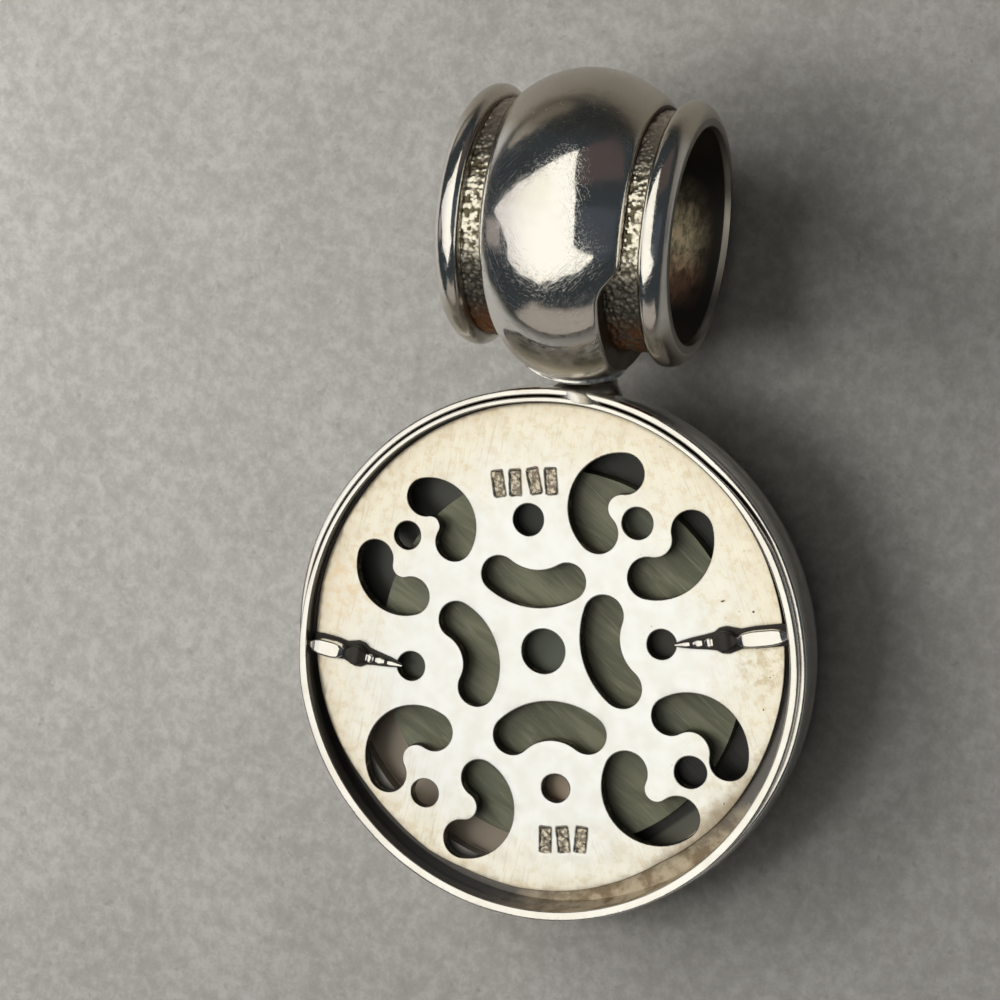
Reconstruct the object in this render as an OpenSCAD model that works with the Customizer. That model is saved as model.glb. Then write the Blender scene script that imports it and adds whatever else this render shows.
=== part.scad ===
// Round cameo pendant with a pierced silver back and a wide barrel bail.
// It is drawn flat, its back lip at height zero and its back up, and then laid down:
// face down on a table, resting on the bail and on the far edge of the bezel.

/* [Bezel] */
// Widest radius of the bezel
bezel_r = 12.4; // [12.2:0.1:13]
// Depth from the back lip to the front edge
bezel_depth = 4.4; // [4.2:0.1:5]
// Inner radius of the bezel wall
wall_in_r = 11.7; // [11.6:0.05:11.8]
// Radius of the rounded back lip
lip_bead = 0.25; // [0.15:0.05:0.3]
// Radius of the second bead, below the lip
side_bead = 0.2; // [0.1:0.05:0.25]
// Radius of the rounded front edge
front_bead = 0.45; // [0.35:0.05:0.5]
// Inner radius of the ring that bears the back plate
bearer_r = 10.5; // [10:0.1:10.8]

/* [Back plate] */
// Radius of the back plate
plate_r = 11.25; // [11:0.05:11.3]
// Thickness of the back plate
plate_t = 0.6; // [0.4:0.1:0.8]
// Depth of the plate's face below the back lip
plate_sunk = 0.8; // [0.6:0.1:1]
// Depth of the plain punch marks
punch_depth = 0.12; // [0.05:0.01:0.2]
// Length of a punch mark
punch_long = 1.2; // [0.8:0.1:1.4]

/* [Cameo] */
// Radius of the stone
stone_r = 11.4; // [11.2:0.05:11.45]
// Radius of the raised step on the stone's back
step_r = 8.8; // [8:0.1:9.5]
// Number of petals in each ring of the rosette on the front
petals = 8; // [6:1:12]
// Height of the rosette in front of the stone's ground
relief = 0.85; // [0.5:0.05:1]

/* [Bail] */
// Radius of the bore that the necklace passes through
bore_r = 4.75; // [4.5:0.05:4.8]
// Outer radius of the tube in its two sunk bands
band_r = 5.35; // [5.2:0.05:5.5]
// Outer radius of the rolls at the ends
roll_r = 5.9; // [5.8:0.1:6.1]
// Whole length of the tube
bail_len = 10.6; // [10.3:0.1:12]
// Outer radius of the domed ribbon at its crown
crown_r = 6.95; // [6.8:0.05:7]
// Half the width of the domed ribbon
ribbon_half = 3.25; // [3:0.05:3.4]
// Distance from the bezel's middle to the bail's axis
bail_y = 19.6; // [19.5:0.1:21]

/* [Hidden] */
$fn = 128;

// Small clearance between neighbouring pieces
gap = 0.05;

// Width of a punch mark
punch_wide = 0.55;

// Steps in each arc of a kidney-shaped slot
arc_steps = 14;

// Heights, measured from the back lip, which is at zero
plate_z = -plate_sunk;
plate_under = plate_z - plate_t;
bearer_top = plate_under - gap;
bearer_under = bearer_top - 0.85;
shoulder_z = bearer_under - gap;
step_z = plate_under - 0.2;
ground_z = -bezel_depth + 1.25;
front_z = -bezel_depth + front_bead;

// Radii of the centre lines of the bezel's rounded edges
lip_r = wall_in_r + lip_bead - 0.02;
side_r = bezel_r - 0.18;
front_r = bezel_r - 1.1;
side_z = -0.75;

// The bail's axis lies a little below the back lip
bail_z = -0.6;
roll_bead = 0.7;
roll_x = bail_len / 2 - roll_bead;
// Radius at the two sharp edges of the ribbon
edge_r = 5.6;

// Solder post between the bezel and the bail: [x, z] and radius
post_at = [0.5, -1.8];
post_r = 1.1;

// Angle at which the whole pendant rests on a table: the crown of the ribbon and the
// lowest stretch of the bezel's front edge touch the table together
reach = bail_y + front_r;
drop = bail_z - front_z;
rest_tilt = asin((crown_r - front_bead) / norm([reach, drop])) - atan2(drop, reach);

// Shifts that bring the resting pendant on to the table and centre it
lift = crown_r - bail_y * sin(rest_tilt) - bail_z * cos(rest_tilt);
far_y = bail_y * cos(rest_tilt) - bail_z * sin(rest_tilt) + crown_r;
near_y = -side_r * cos(rest_tilt) - side_z * sin(rest_tilt) - side_bead;
shift_y = -(far_y + near_y) / 2;

// The back plate sits a little off centre, towards the bail
plate_at = [-0.1, 0.3];

// Round holes of the back plate: [x, y, radius]
HOLES = [
  [-0.08, -0.24, 1.03],
  [-1.4, 5.7, 0.73],
  [1.15, -6.5, 0.67],
  [-6.45, -1.95, 0.68],
  [5.45, 0.95, 0.68],
  [-7.2, 4.15, 0.65],
  [3.75, 6.25, 0.72],
  [-5.2, -7.85, 0.67],
  [7.4, -4.65, 0.74],
];

// Kidney-shaped slots of the back plate, each bent from a start over a middle to an end:
// [start x, start y, middle x, middle y, end x, end y, width]
KIDNEYS = [
  [-2.55, 3.0, -0.88, 2.56, 0.75, 3.13, 1.7],
  [-1.2, -4.4, 0.6, -3.4, 2.4, -3.75, 1.8],
  [-4.4, 0.55, -3.1, -0.85, -3.15, -2.45, 1.75],
  [2.6, 1.85, 2.65, 0.2, 3.8, -1.35, 1.85],
  [-6.5, 6.05, -5.1, 5.65, -4.9, 4.15, 1.75],
  [-8.7, 2.85, -8.1, 1.5, -6.75, 1.35, 1.75],
  [2.9, 8.4, 1.4, 7.2, 1.95, 5.55, 1.85],
  [6.3, 6.25, 5.98, 4.5, 4.5, 3.85, 1.9],
  [-5.05, -4.85, -7.0, -5.25, -7.15, -7.2, 1.85],
  [-2.55, -6.7, -1.65, -8.25, -3.15, -9.7, 1.8],
  [4.4, -5.2, 4.82, -6.88, 7.05, -6.85, 2.0],
  [6.2, -2.25, 8.1, -2.1, 9.1, -3.85, 1.75],
];

// Plain punch marks, four above and three below: [x, y, turn]
PUNCHES = [
  [-3.0, 7.15, 15],
  [-2.2, 7.3, 8],
  [-1.3, 7.5, 18],
  [-0.5, 7.6, 10],
  [0.9, -9.0, 5],
  [1.75, -8.85, 12],
  [2.6, -8.7, 0],
];

// Retaining pins on the back: [root x, root y, tip x, tip y]
PIN_LEFT = [-11.45, -1.25, -6.9, -1.65];
PIN_RIGHT = [11.2, 2.65, 6.0, 1.35];

// Outline of a pin from its root to its tip: [share of the length, radius]
PIN_OUTLINE = [
  [0, 0.16],
  [0.12, 0.36],
  [0.3, 0.4],
  [0.46, 0.34],
  [0.5, 0.2],
  [0.55, 0.46],
  [0.62, 0.46],
  [0.68, 0.24],
  [0.74, 0.26],
  [1, 0.08],
];
pin_widest = 0.46;

// Cuts that trim the ribbon to a tongue beside the bezel, seen on the back from the
// bail's middle: [x, y]
RIGHT_TRIM = [[2.25, -8], [2.4, -4.8], [2.42, -3.1], [2.7, -2.5], [4, -1.5], [4, -8]];
LEFT_TRIM = [[-1.6, -8], [-2.5, -5.2], [-3.1, -2.6], [-4, -1.4], [-4, -8]];

// Rings of the rosette on the front: [inner end, length, half width, share of the height]
ROSETTE = [
  [0.4, 5.8, 1.3, 1],
  [4.6, 6.2, 1.2, 0.8],
];

// Centre of the circle through three points
function arc_centre(p, m, q) =
  let (
    u = m - p,
    v = q - p,
    d = 2 * (u[0] * v[1] - u[1] * v[0])
  )
  p + [v[1] * (u * u) - u[1] * (v * v), u[0] * (v * v) - v[0] * (u * u)] / d;

// Signed turn from one direction to another, the short way round
function turn_to(u, v) = atan2(u[0] * v[1] - u[1] * v[0], u * v);

// Points along an arc from a start angle over a sweep, with or without its two ends
function arc(c, r, start, sweep, skip) = [
  for (i = [skip : arc_steps - skip])
    let (a = start + sweep * i / arc_steps) c + r * [cos(a), sin(a)]
];

// Lays the flat-drawn pendant down on the table
module lie() {
  translate([0, shift_y, lift]) rotate([rest_tilt, 0, 0]) children();
}

// Slot along the arc through three points, with round ends
module kidney(row) {
  p = [row[0], row[1]];
  m = [row[2], row[3]];
  q = [row[4], row[5]];
  half = row[6] / 2;
  c = arc_centre(p, m, q);
  bend = norm(p - c);
  start = atan2(p[1] - c[1], p[0] - c[0]);
  sweep = turn_to(p - c, m - c) + turn_to(m - c, q - c);
  way = 180 * sign(sweep);
  polygon(concat(
    arc(c, bend + half, start, sweep, 0),
    arc(q, half, start + sweep, way, 1),
    arc(c, bend - half, start + sweep, -sweep, 0),
    arc(p, half, start + 180, way, 1)
  ));
}

// Half section of the bezel ring: wall, bearer for the plate, seat for the stone
module bezel_section() {
  polygon([
    [wall_in_r, -lip_bead],
    [lip_r + 0.2, -lip_bead],
    [side_r - 0.02, side_z - 0.4],
    [bezel_r, side_z - 1],
    [bezel_r, side_z - 1.5],
    [bezel_r - 0.4, front_z + 0.65],
    [front_r + 0.4, front_z],
    [front_r, front_z - 0.1],
    [front_r - 0.4, front_z],
    [front_r - 0.4, ground_z - gap],
    [stone_r + 0.1, ground_z - gap],
    [stone_r + 0.1, bearer_under],
    [bearer_r, bearer_under],
    [bearer_r, bearer_top],
    [wall_in_r, bearer_top],
  ]);
  translate([lip_r, -lip_bead]) circle(lip_bead, $fn = 32);
  translate([side_r, side_z]) circle(side_bead, $fn = 32);
  translate([front_r, front_z]) circle(front_bead, $fn = 32);
}

// Tube along the x axis with a roll at each end
module barrel() {
  rotate([0, 90, 0]) rotate_extrude() {
    translate([bore_r, -bail_len / 2 + 0.3]) square([band_r - bore_r, bail_len - 0.6]);
    for (side = [-1, 1]) translate([roll_r - roll_bead, side * roll_x]) circle(roll_bead, $fn = 48);
  }
}

// Domed ribbon round the tube, trimmed to a tongue beside the bezel
module ribbon() {
  rise = crown_r - edge_r;
  dome = (pow(ribbon_half, 2) + pow(rise, 2)) / (2 * rise);
  difference() {
    rotate([0, 90, 0]) rotate_extrude() intersection() {
      translate([crown_r - dome, 0]) circle(dome);
      translate([band_r - 0.15, -ribbon_half]) square([2, 2 * ribbon_half]);
    }
    for (trim = [RIGHT_TRIM, LEFT_TRIM])
      translate([0, 0, -crown_r - 1]) linear_extrude(2 * crown_r + 2) polygon(trim);
  }
}

// Bezel, solder post and bail, soldered into one piece
module bezel_with_bail() {
  color("silver") lie() {
    rotate_extrude() bezel_section();
    difference() {
      union() {
        translate([0, bail_y, bail_z]) barrel();
        translate([0, bail_y, bail_z]) ribbon();
        translate([post_at[0], bezel_r - 0.4, post_at[1]]) rotate([-90, 0, 0]) cylinder(h = 3, r = post_r);
      }
      translate([-bail_len, bail_y, bail_z]) rotate([0, 90, 0]) cylinder(h = 2 * bail_len, r = bore_r);
    }
  }
}

// Pierced and lightly punched plate that closes the back
module back_plate() {
  color("gainsboro") lie() translate([plate_at[0], plate_at[1], plate_under]) difference() {
    cylinder(h = plate_t, r = plate_r);
    translate([0, 0, -1]) linear_extrude(plate_t + 2) {
      for (hole = HOLES) translate([hole[0], hole[1]]) circle(hole[2], $fn = 48);
      for (row = KIDNEYS) kidney(row);
    }
    for (mark = PUNCHES)
      translate([mark[0], mark[1], plate_t - punch_depth]) rotate([0, 0, mark[2]])
        translate([-punch_wide / 2, -punch_long / 2, 0]) cube([punch_wide, punch_long, 1]);
  }
}

// Turned pin that lies on the plate and points at one of the small holes
module retaining_pin(ends) {
  root = [ends[0], ends[1]];
  tip = [ends[2], ends[3]];
  long = norm(tip - root);
  outline = [for (row = PIN_OUTLINE) [row[1], row[0] * long]];
  color("silver") lie()
    translate([root[0], root[1], plate_z + gap + pin_widest])
      rotate([0, 90, atan2(tip[1] - root[1], tip[0] - root[0])])
        rotate_extrude($fn = 32) polygon(concat([[0, 0]], outline, [[0, long]]));
}

// Pointed petal, a spindle laid along a ray and half sunk in the stone's ground
module petal(from, long, half_width) {
  bend = (pow(long / 2, 2) + pow(half_width, 2)) / (2 * half_width);
  translate([from + long / 2, 0, 0]) rotate([0, 90, 0]) rotate_extrude($fn = 64) intersection() {
    translate([half_width - bend, 0]) circle(bend);
    translate([0, -long / 2]) square([half_width, long]);
  }
}

// Stone with a raised step behind and a rosette in low relief in front
module cameo() {
  color("olivedrab") lie() {
    translate([0, 0, ground_z]) cylinder(h = shoulder_z - ground_z, r = stone_r);
    translate([0, 0, shoulder_z - 0.1]) cylinder(h = step_z - shoulder_z + 0.1, r = step_r);
    intersection() {
      translate([0, 0, -bezel_depth]) cylinder(h = ground_z + bezel_depth + 0.1, r = front_r - 0.7);
      for (ring = [0, 1], i = [0 : petals - 1])
        rotate([0, 0, (i + ring / 2) * 360 / petals])
          translate([0, 0, ground_z + ROSETTE[ring][2] - relief * ROSETTE[ring][3]])
            petal(ROSETTE[ring][0], ROSETTE[ring][1], ROSETTE[ring][2]);
    }
    translate([0, 0, ground_z]) sphere(relief, $fn = 64);
  }
}

bezel_with_bail();
back_plate();
retaining_pin(PIN_LEFT);  // retaining_pin_left
retaining_pin(PIN_RIGHT);  // retaining_pin_right
cameo();
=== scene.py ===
# %% [markdown]
# # A round silver pendant, seen from its back
#
# The pendant lies face down on a table. Its back is closed by a pierced plate, through which the dark olive
# stone shows. A wide barrel bail is soldered to the top. The solid model is already packed as a fixed frame,
# in metres, and this lesson dresses it: it makes the finely rounded forms and the finishes of each piece.

import math

import bmesh
import bpy
import numpy as np
from mathutils import Matrix, Vector, geometry


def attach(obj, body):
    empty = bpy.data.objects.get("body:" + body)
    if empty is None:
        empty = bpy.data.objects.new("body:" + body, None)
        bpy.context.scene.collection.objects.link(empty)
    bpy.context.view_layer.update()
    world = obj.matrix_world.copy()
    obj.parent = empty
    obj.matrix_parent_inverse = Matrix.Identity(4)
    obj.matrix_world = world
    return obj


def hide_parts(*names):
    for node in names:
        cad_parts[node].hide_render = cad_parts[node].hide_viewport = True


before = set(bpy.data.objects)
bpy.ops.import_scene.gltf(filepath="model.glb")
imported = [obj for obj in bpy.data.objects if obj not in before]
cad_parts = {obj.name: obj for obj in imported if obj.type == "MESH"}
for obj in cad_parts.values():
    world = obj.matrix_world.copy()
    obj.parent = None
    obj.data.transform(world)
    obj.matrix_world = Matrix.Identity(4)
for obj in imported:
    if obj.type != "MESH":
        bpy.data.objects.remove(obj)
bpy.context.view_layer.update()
draw = np.random.default_rng(7)

# %% [markdown]
# ## Drawing flat, then laying down
#
# A jeweller draws a pendant flat. So do we: x runs across, y runs towards the bail, z comes out of the back,
# in millimetres, and the back lip of the bezel is at height zero. One function then lays every point down on
# the table, where the pendant rests on its bail and on the far edge of its bezel, a little tilted.

# %% Lay the drawing down
BEZEL_R, BEZEL_DEPTH = 12.4, 4.4
CROWN_R, BAIL_Y, BAIL_Z = 6.95, 19.6, -0.6
# the two rounded edges of the bezel that can touch the table: radius of the edge, then its middle
FRONT_BEAD, SIDE_BEAD = 0.45, 0.2
FRONT_Z, FRONT_R = -BEZEL_DEPTH + FRONT_BEAD, BEZEL_R - 1.1
SIDE_R, SIDE_Z = BEZEL_R - 0.18, -0.75

reach, drop = BAIL_Y + FRONT_R, BAIL_Z - FRONT_Z
TILT = math.asin((CROWN_R - FRONT_BEAD) / math.hypot(reach, drop)) - math.atan2(drop, reach)
far_y = BAIL_Y * math.cos(TILT) - BAIL_Z * math.sin(TILT) + CROWN_R
near_y = -SIDE_R * math.cos(TILT) - SIDE_Z * math.sin(TILT) - SIDE_BEAD
SHIFT_Y = -(far_y + near_y) / 2
LIFT = CROWN_R - BAIL_Y * math.sin(TILT) - BAIL_Z * math.cos(TILT)
MM = 0.001


def lie(points):
    """Points of the flat drawing, in millimetres, to points on the table, in metres."""
    x, y, z = np.moveaxis(np.asarray(points, float), -1, 0)
    c, s = math.cos(TILT), math.sin(TILT)
    return np.stack([x, y * c - z * s + SHIFT_Y, y * s + z * c + LIFT], -1) * MM


print("tilt in degrees:", round(math.degrees(TILT), 3), "lift in mm:", round(LIFT, 3))

# %% [markdown]
# ## The camera comes first
#
# The photograph was taken from close by, a little to the right of straight above. The camera's place is given
# by two angles from the plate's own upright, a roll, and the spot in the frame where the middle of the bezel
# falls. Setting it first lets every later piece be judged from the right place.

# %% Set the camera
LEAN, TOWARDS, ROLL = math.radians(20.5), math.radians(24.5), math.radians(-5.4)
CAMERA_MM, PIXELS_PER_MM, FRAME_PX, SENSOR_MM = 115.0, 22.0, 1000, 36
MIDDLE_PX = (541.0, 656.3)

leaning = math.sin(LEAN)
to_camera = np.array([leaning * math.cos(TOWARDS), leaning * math.sin(TOWARDS), math.cos(LEAN)])
forward = -to_camera
right = np.cross(forward, [0, 1, 0])
right /= np.linalg.norm(right)
down = np.cross(forward, right)
side = math.cos(ROLL) * right + math.sin(ROLL) * down
below = -math.sin(ROLL) * right + math.cos(ROLL) * down
off_side, off_below = ((px - FRAME_PX / 2) / PIXELS_PER_MM for px in MIDDLE_PX)
eye = -(off_side * side + off_below * below + CAMERA_MM * forward)

tilt_turn = Matrix.Rotation(TILT, 3, "X")
axes = Matrix([tilt_turn @ Vector(axis) for axis in (side, -below, to_camera)]).transposed()
camera_data = bpy.data.cameras.new("camera")
camera_data.sensor_width = SENSOR_MM
camera_data.lens = SENSOR_MM * PIXELS_PER_MM * CAMERA_MM / FRAME_PX
camera_data.clip_start = MM
camera = bpy.data.objects.new("camera", camera_data)
camera.matrix_world = Matrix.Translation(Vector(lie(eye))) @ axes.to_4x4()
bpy.context.scene.collection.objects.link(camera)
bpy.context.scene.camera = camera
print("camera at", [round(v, 4) for v in camera.location], "lens", round(camera_data.lens, 1))

# %% [markdown]
# ## Table and light
#
# Polished silver has no look of its own: it shows the room. The domed ribbon of the bail mirrors one large
# pale window, high up and to the left, and the dark room around it. One light can't give the right mirror
# image and the right shadows at once, so the work is split. A big softbox is seen only by mirrors, four small
# lamps light only what is dull, and a dim room with a few paler patches stands behind both.

# %% Add the table
TABLE_HALF = 0.35


def grid_mesh(name, points, faces, sharp=None):
    """A mesh object from points in metres and faces, shaded smooth but for edges sharper than the angle."""
    mesh = bpy.data.meshes.new(name)
    mesh.from_pydata([tuple(p) for p in np.asarray(points).tolist()], [], faces)
    mesh.validate()
    mesh.update()
    mesh.shade_smooth()
    if sharp:
        mesh.set_sharp_from_angle(angle=math.radians(sharp))
    piece = bpy.data.objects.new(name, mesh)
    bpy.context.scene.collection.objects.link(piece)
    return piece


h = TABLE_HALF
table = grid_mesh("table", [(-h, -h, 0), (h, -h, 0), (h, h, 0), (-h, h, 0)], [(0, 1, 2, 3)])
print("table half width in m:", TABLE_HALF)

# %% [markdown]
# ### The softbox
#
# The window is a flat softbox just above the pendant. Its outline is what gives the bright patch on the dome
# its shape, so it has a few more corners than a real window. It lights nothing and casts no shadow.

# %% Hang the softbox
SOFTBOX_Z = 0.100
SOFTBOX_CORNERS_MM = [
    # x, y
    (16, 116), (25, 53), (41, -23), (105, -42), (76, -57), (-38, -98),
    (-139, -68), (-140, -38), (-190, -15), (-400, 25), (-74, 57), (-23, 83),
]
corners = [(x * MM, y * MM, SOFTBOX_Z) for x, y in SOFTBOX_CORNERS_MM]
softbox = grid_mesh("softbox", corners, [tuple(range(len(corners)))])
softbox.visible_camera = softbox.visible_diffuse = softbox.visible_shadow = False
print("softbox corners:", len(corners))

# %% [markdown]
# ### Four lamps
#
# Three lamps stand side by side where the window is, to give one soft shadow that fades towards the right.
# The fourth hangs high overhead, as a pale ceiling does. Mirrors don't see them.

# %% Set the lamps
LAMPS = [
    # round from the right, and up from the table
    {"name": "window_far", "round_deg": 150, "up_deg": 35, "away_mm": 130, "size_mm": 50, "watts": 0.047},
    {"name": "window_middle", "round_deg": 180, "up_deg": 40, "away_mm": 130, "size_mm": 50, "watts": 0.040},
    {"name": "window_near", "round_deg": 200, "up_deg": 60, "away_mm": 140, "size_mm": 50, "watts": 0.041},
    {"name": "ceiling", "round_deg": 0, "up_deg": 90, "away_mm": 250, "size_mm": 200, "watts": 0.040},
]
LAMP_COLOUR = (1.0, 0.985, 0.955)
for row in LAMPS:
    lamp = bpy.data.lights.new(row["name"], "AREA")
    lamp.energy, lamp.size, lamp.color = row["watts"], row["size_mm"] * MM, LAMP_COLOUR
    holder = bpy.data.objects.new(row["name"], lamp)
    turn, up = math.radians(row["round_deg"]), math.radians(row["up_deg"])
    at = Vector((math.cos(up) * math.cos(turn), math.cos(up) * math.sin(turn), math.sin(up)))
    holder.location = at * row["away_mm"] * MM
    holder.rotation_euler = at.to_track_quat("Z", "Y").to_euler()
    holder.visible_camera = holder.visible_glossy = False
    bpy.context.scene.collection.objects.link(holder)
print("lamps:", [row["name"] for row in LAMPS])

# %% [markdown]
# ### Shader helpers
#
# A node tree written out socket by socket is hard to read. These few helpers let a finish be written as a
# short sum: a helper makes the node, takes numbers or other nodes' outputs, and hands back its output.

# %% Nodes and their arithmetic
def feed(node, socket, value):
    """Gives a socket a plain value, or links another node's output to it."""
    target = node.inputs[socket]
    if isinstance(value, bpy.types.NodeSocket):
        node.id_data.links.new(value, target)
    elif isinstance(value, (tuple, list)) and len(value) == 3 and target.type == "RGBA":
        target.default_value = (*value, 1)
    else:
        target.default_value = value


def node(tree, kind, inputs=None, **settings):
    made = tree.nodes.new("ShaderNode" + kind)
    for key, value in settings.items():
        setattr(made, key, value)
    for key, value in (inputs or {}).items():
        feed(made, key, value)
    return made


def math_node(operation, a, b=0.0):
    """A Math node, in the tree of whichever of the two values is a node's output."""
    tree = (a if isinstance(a, bpy.types.NodeSocket) else b).id_data
    return node(tree, "Math", {0: a, 1: b}, operation=operation).outputs[0]


def plus(a, b):
    return math_node("ADD", a, b)


def minus(a, b):
    return math_node("SUBTRACT", a, b)


def times(a, b):
    return math_node("MULTIPLY", a, b)


def size_of(a):
    return math_node("ABSOLUTE", a)


print("arithmetic ready")

# %% [markdown]
# A finish goes softly from one state to another. A ramp turns any value into a share, and a blend uses the
# share to mix two colours.

# %% Ramps and blends
def ramp(value, low, high, to_low=0.0, to_high=1.0):
    """A smooth step of a value between two limits."""
    made = node(value.id_data, "MapRange", {"Value": value, "From Min": low, "From Max": high,
                                            "To Min": to_low, "To Max": to_high},
                interpolation_type="SMOOTHSTEP")
    return made.outputs["Result"]


def blend_colour(share, first, second):
    """The first colour where the share is 0, the second where it is 1."""
    made = node(share.id_data, "Mix", data_type="RGBA")
    for socket, value in ((0, share), (6, first), (7, second)):
        feed(made, socket, value)
    return made.outputs[2]


print("ramps and blends ready")

# %% [markdown]
# ### Places and grain
#
# Every finish is painted in the millimetres of the flat drawing, so a stain can be placed where it belongs,
# and grain keeps its size. Noise read at a stretched place gives grain that runs one way.

# %% Places
def flat_place(tree):
    """Where a point lies in the flat drawing, in millimetres."""
    c, s = math.cos(TILT), math.sin(TILT)
    back = (0, -(SHIFT_Y * c + LIFT * s), -(-SHIFT_Y * s + LIFT * c))
    made = node(tree, "Mapping", {"Vector": node(tree, "TexCoord").outputs["Object"], "Location": back,
                                  "Rotation": (-TILT, 0, 0), "Scale": (1 / MM,) * 3})
    return made.outputs[0]


def xyz(place):
    return node(place.id_data, "SeparateXYZ", {0: place}).outputs


def along_way(place, way):
    """How far a place lies along a direction."""
    made = node(place.id_data, "VectorMath", {0: place, 1: way}, operation="DOT_PRODUCT")
    return made.outputs["Value"]


def far_from(place, middle=(0, 0)):
    """Distance from an upright line through a spot of the flat drawing."""
    x, y = (minus(part, m) for part, m in zip(xyz(place), middle))
    return math_node("SQRT", plus(times(x, x), times(y, y)))


def stretched(place, turn, stretch):
    """The place turned in the plane and then stretched, for grain that runs one way."""
    turned = node(place.id_data, "Mapping", {"Vector": place, "Rotation": (0, 0, turn)}).outputs[0]
    return node(place.id_data, "Mapping", {"Vector": turned, "Scale": stretch}).outputs[0]


print("places ready")

# %% [markdown]
# Noise is read at a place, and a bump turns its height into the way the surface seems to face. Every finish
# starts as one plain Principled shader.

# %% Grain, bumps and new finishes
def noise(place, scale, detail=3.0, rough=0.55, twist=0.0):
    made = node(place.id_data, "TexNoise", {"Vector": place, "Scale": scale, "Detail": detail,
                                            "Roughness": rough, "Distortion": twist})
    return made.outputs[0]


def bump(height, distance, strength=1.0, under=None):
    """The way the surface seems to face; distance in metres, and another bump may lie under it."""
    made = node(height.id_data, "Bump", {"Height": height, "Distance": distance, "Strength": strength})
    if under is not None:
        feed(made, "Normal", under)
    return made.outputs[0]


def finish_of(name):
    """A new material with one plain Principled shader, as (material, tree, shader)."""
    material = bpy.data.materials.new(name)
    material.use_nodes = True
    tree = material.node_tree
    return material, tree, tree.nodes["Principled BSDF"]


print("grain ready")

# %% [markdown]
# ### The room
#
# The room's shade depends only on the direction. It is nearly black, with a few soft-edged patches: pale
# walls low in front and behind, a pale cupboard on the left, and two dark coloured ones that tint the shaded
# side of the dome. Each patch is a polygon of directions: a direction is inside where it is on the inner side
# of the plane through every edge. The room lights nothing, so the shadows are left to the lamps.

# %% Shade the room
ROOM_DARK = (0.034, 0.040, 0.044)
ROOM_PATCHES = [
    # corners as directions, in order round the patch
    {"name": "warm wall in front", "colour": (0.34, 0.305, 0.265), "soft": 0.10,
     "corners": [(-0.40, -0.82, 0.43), (0.68, -0.70, 0.22), (0.55, -0.80, -0.25), (-0.70, -0.70, -0.15)]},
    {"name": "purple cloth", "colour": (0.078, 0.062, 0.060), "soft": 0.12,
     "corners": [(0.05, 0.74, 0.67), (0.30, 0.34, 0.89), (0.90, 0.38, 0.20), (0.53, 0.85, 0.03)]},
    {"name": "blue shade", "colour": (0.060, 0.068, 0.080), "soft": 0.15,
     "corners": [(0.32, 0.20, 0.92), (0.40, -0.50, 0.76), (0.90, -0.40, 0.30), (0.95, 0.22, 0.30)]},
    {"name": "pale wall behind", "colour": (0.29, 0.265, 0.225), "soft": 0.08,
     "corners": [(-0.10, 0.98, -0.15), (-0.20, 0.95, 0.12), (-0.66, 0.71, 0.29), (-0.88, 0.46, 0.12),
                 (-0.86, 0.48, -0.20)]},
    {"name": "pale cupboard", "colour": (0.30, 0.265, 0.245), "soft": 0.08,
     "corners": [(-0.88, -0.05, 0.47), (-1.0, 0.02, 0.0), (-0.97, -0.24, 0.0), (-0.86, -0.36, 0.36)]},
]

world = bpy.data.worlds.new("room")
bpy.context.scene.world = world
world.use_nodes = True
tree = world.node_tree
direction = node(tree, "TexCoord").outputs["Generated"]
total = node(tree, "RGB").outputs[0]
total.default_value = (*ROOM_DARK, 1)
for patch in ROOM_PATCHES:
    corners = [Vector(c) for c in patch["corners"]]
    middle = sum(corners, Vector())
    share = None
    for first, second in zip(corners, corners[1:] + corners[:1]):
        inward = first.cross(second).normalized()
        if inward.dot(middle) < 0:
            inward = -inward
        side_share = ramp(along_way(direction, tuple(inward)), 0.0, patch["soft"])
        share = side_share if share is None else times(share, side_share)
    total = blend_colour(share, total, patch["colour"])
feed(tree.nodes["Background"], "Color", total)
world.cycles_visibility.diffuse = False
print("room patches:", len(ROOM_PATCHES))

# %% [markdown]
# ### The softbox's glow
#
# The softbox simply emits light, a little warmer and brighter on its right half than on its far left end.

# %% Shade the softbox
SOFTBOX_STRENGTH = 1.0
SOFTBOX_LEFT, SOFTBOX_RIGHT = (0.80, 0.76, 0.73), (1.08, 1.05, 0.945)
SOFTBOX_CHANGE = (-0.15, -0.02)

glowing = bpy.data.materials.new("softbox_light")
glowing.use_nodes = True
tree = glowing.node_tree
tree.nodes.remove(tree.nodes["Principled BSDF"])
along_room = xyz(node(tree, "TexCoord").outputs["Object"])[0]
shade = blend_colour(ramp(along_room, *SOFTBOX_CHANGE), SOFTBOX_LEFT, SOFTBOX_RIGHT)
emitter = node(tree, "Emission", {"Color": shade, "Strength": SOFTBOX_STRENGTH})
feed(tree.nodes["Material Output"], "Surface", emitter.outputs[0])
softbox.data.materials.append(glowing)
print("softbox glows with a strength of", SOFTBOX_STRENGTH)

# %% [markdown]
# ### The table top
#
# The table is a fine-grained pale stone, mottled in soft clouds with a few darker specks. Away from the
# pendant it turns darker, a painted shade for the far table that lies out of the light. Noise has lines of
# its own along the axes it is made on, which would show as a faint weave. So the grain's place is turned and
# moved a little in all three ways first.

# %% Finish the table
TABLE_GREY, TABLE_PALE = (0.575, 0.562, 0.530), (0.655, 0.642, 0.612)
GRAIN_DARK, GRAIN_PALE = (0.40, 0.388, 0.36), (0.82, 0.81, 0.78)
SPECK_GREY, FAR_SHADE_GREY = (0.28, 0.27, 0.25), (0.14, 0.135, 0.13)
FAR_FROM_MM, FAR_TO_MM = 45, 120
GRAIN_MOVED, GRAIN_TURNED = (3.3, 1.7, 4.6), (0.5, 0.35, 0.3)

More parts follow.
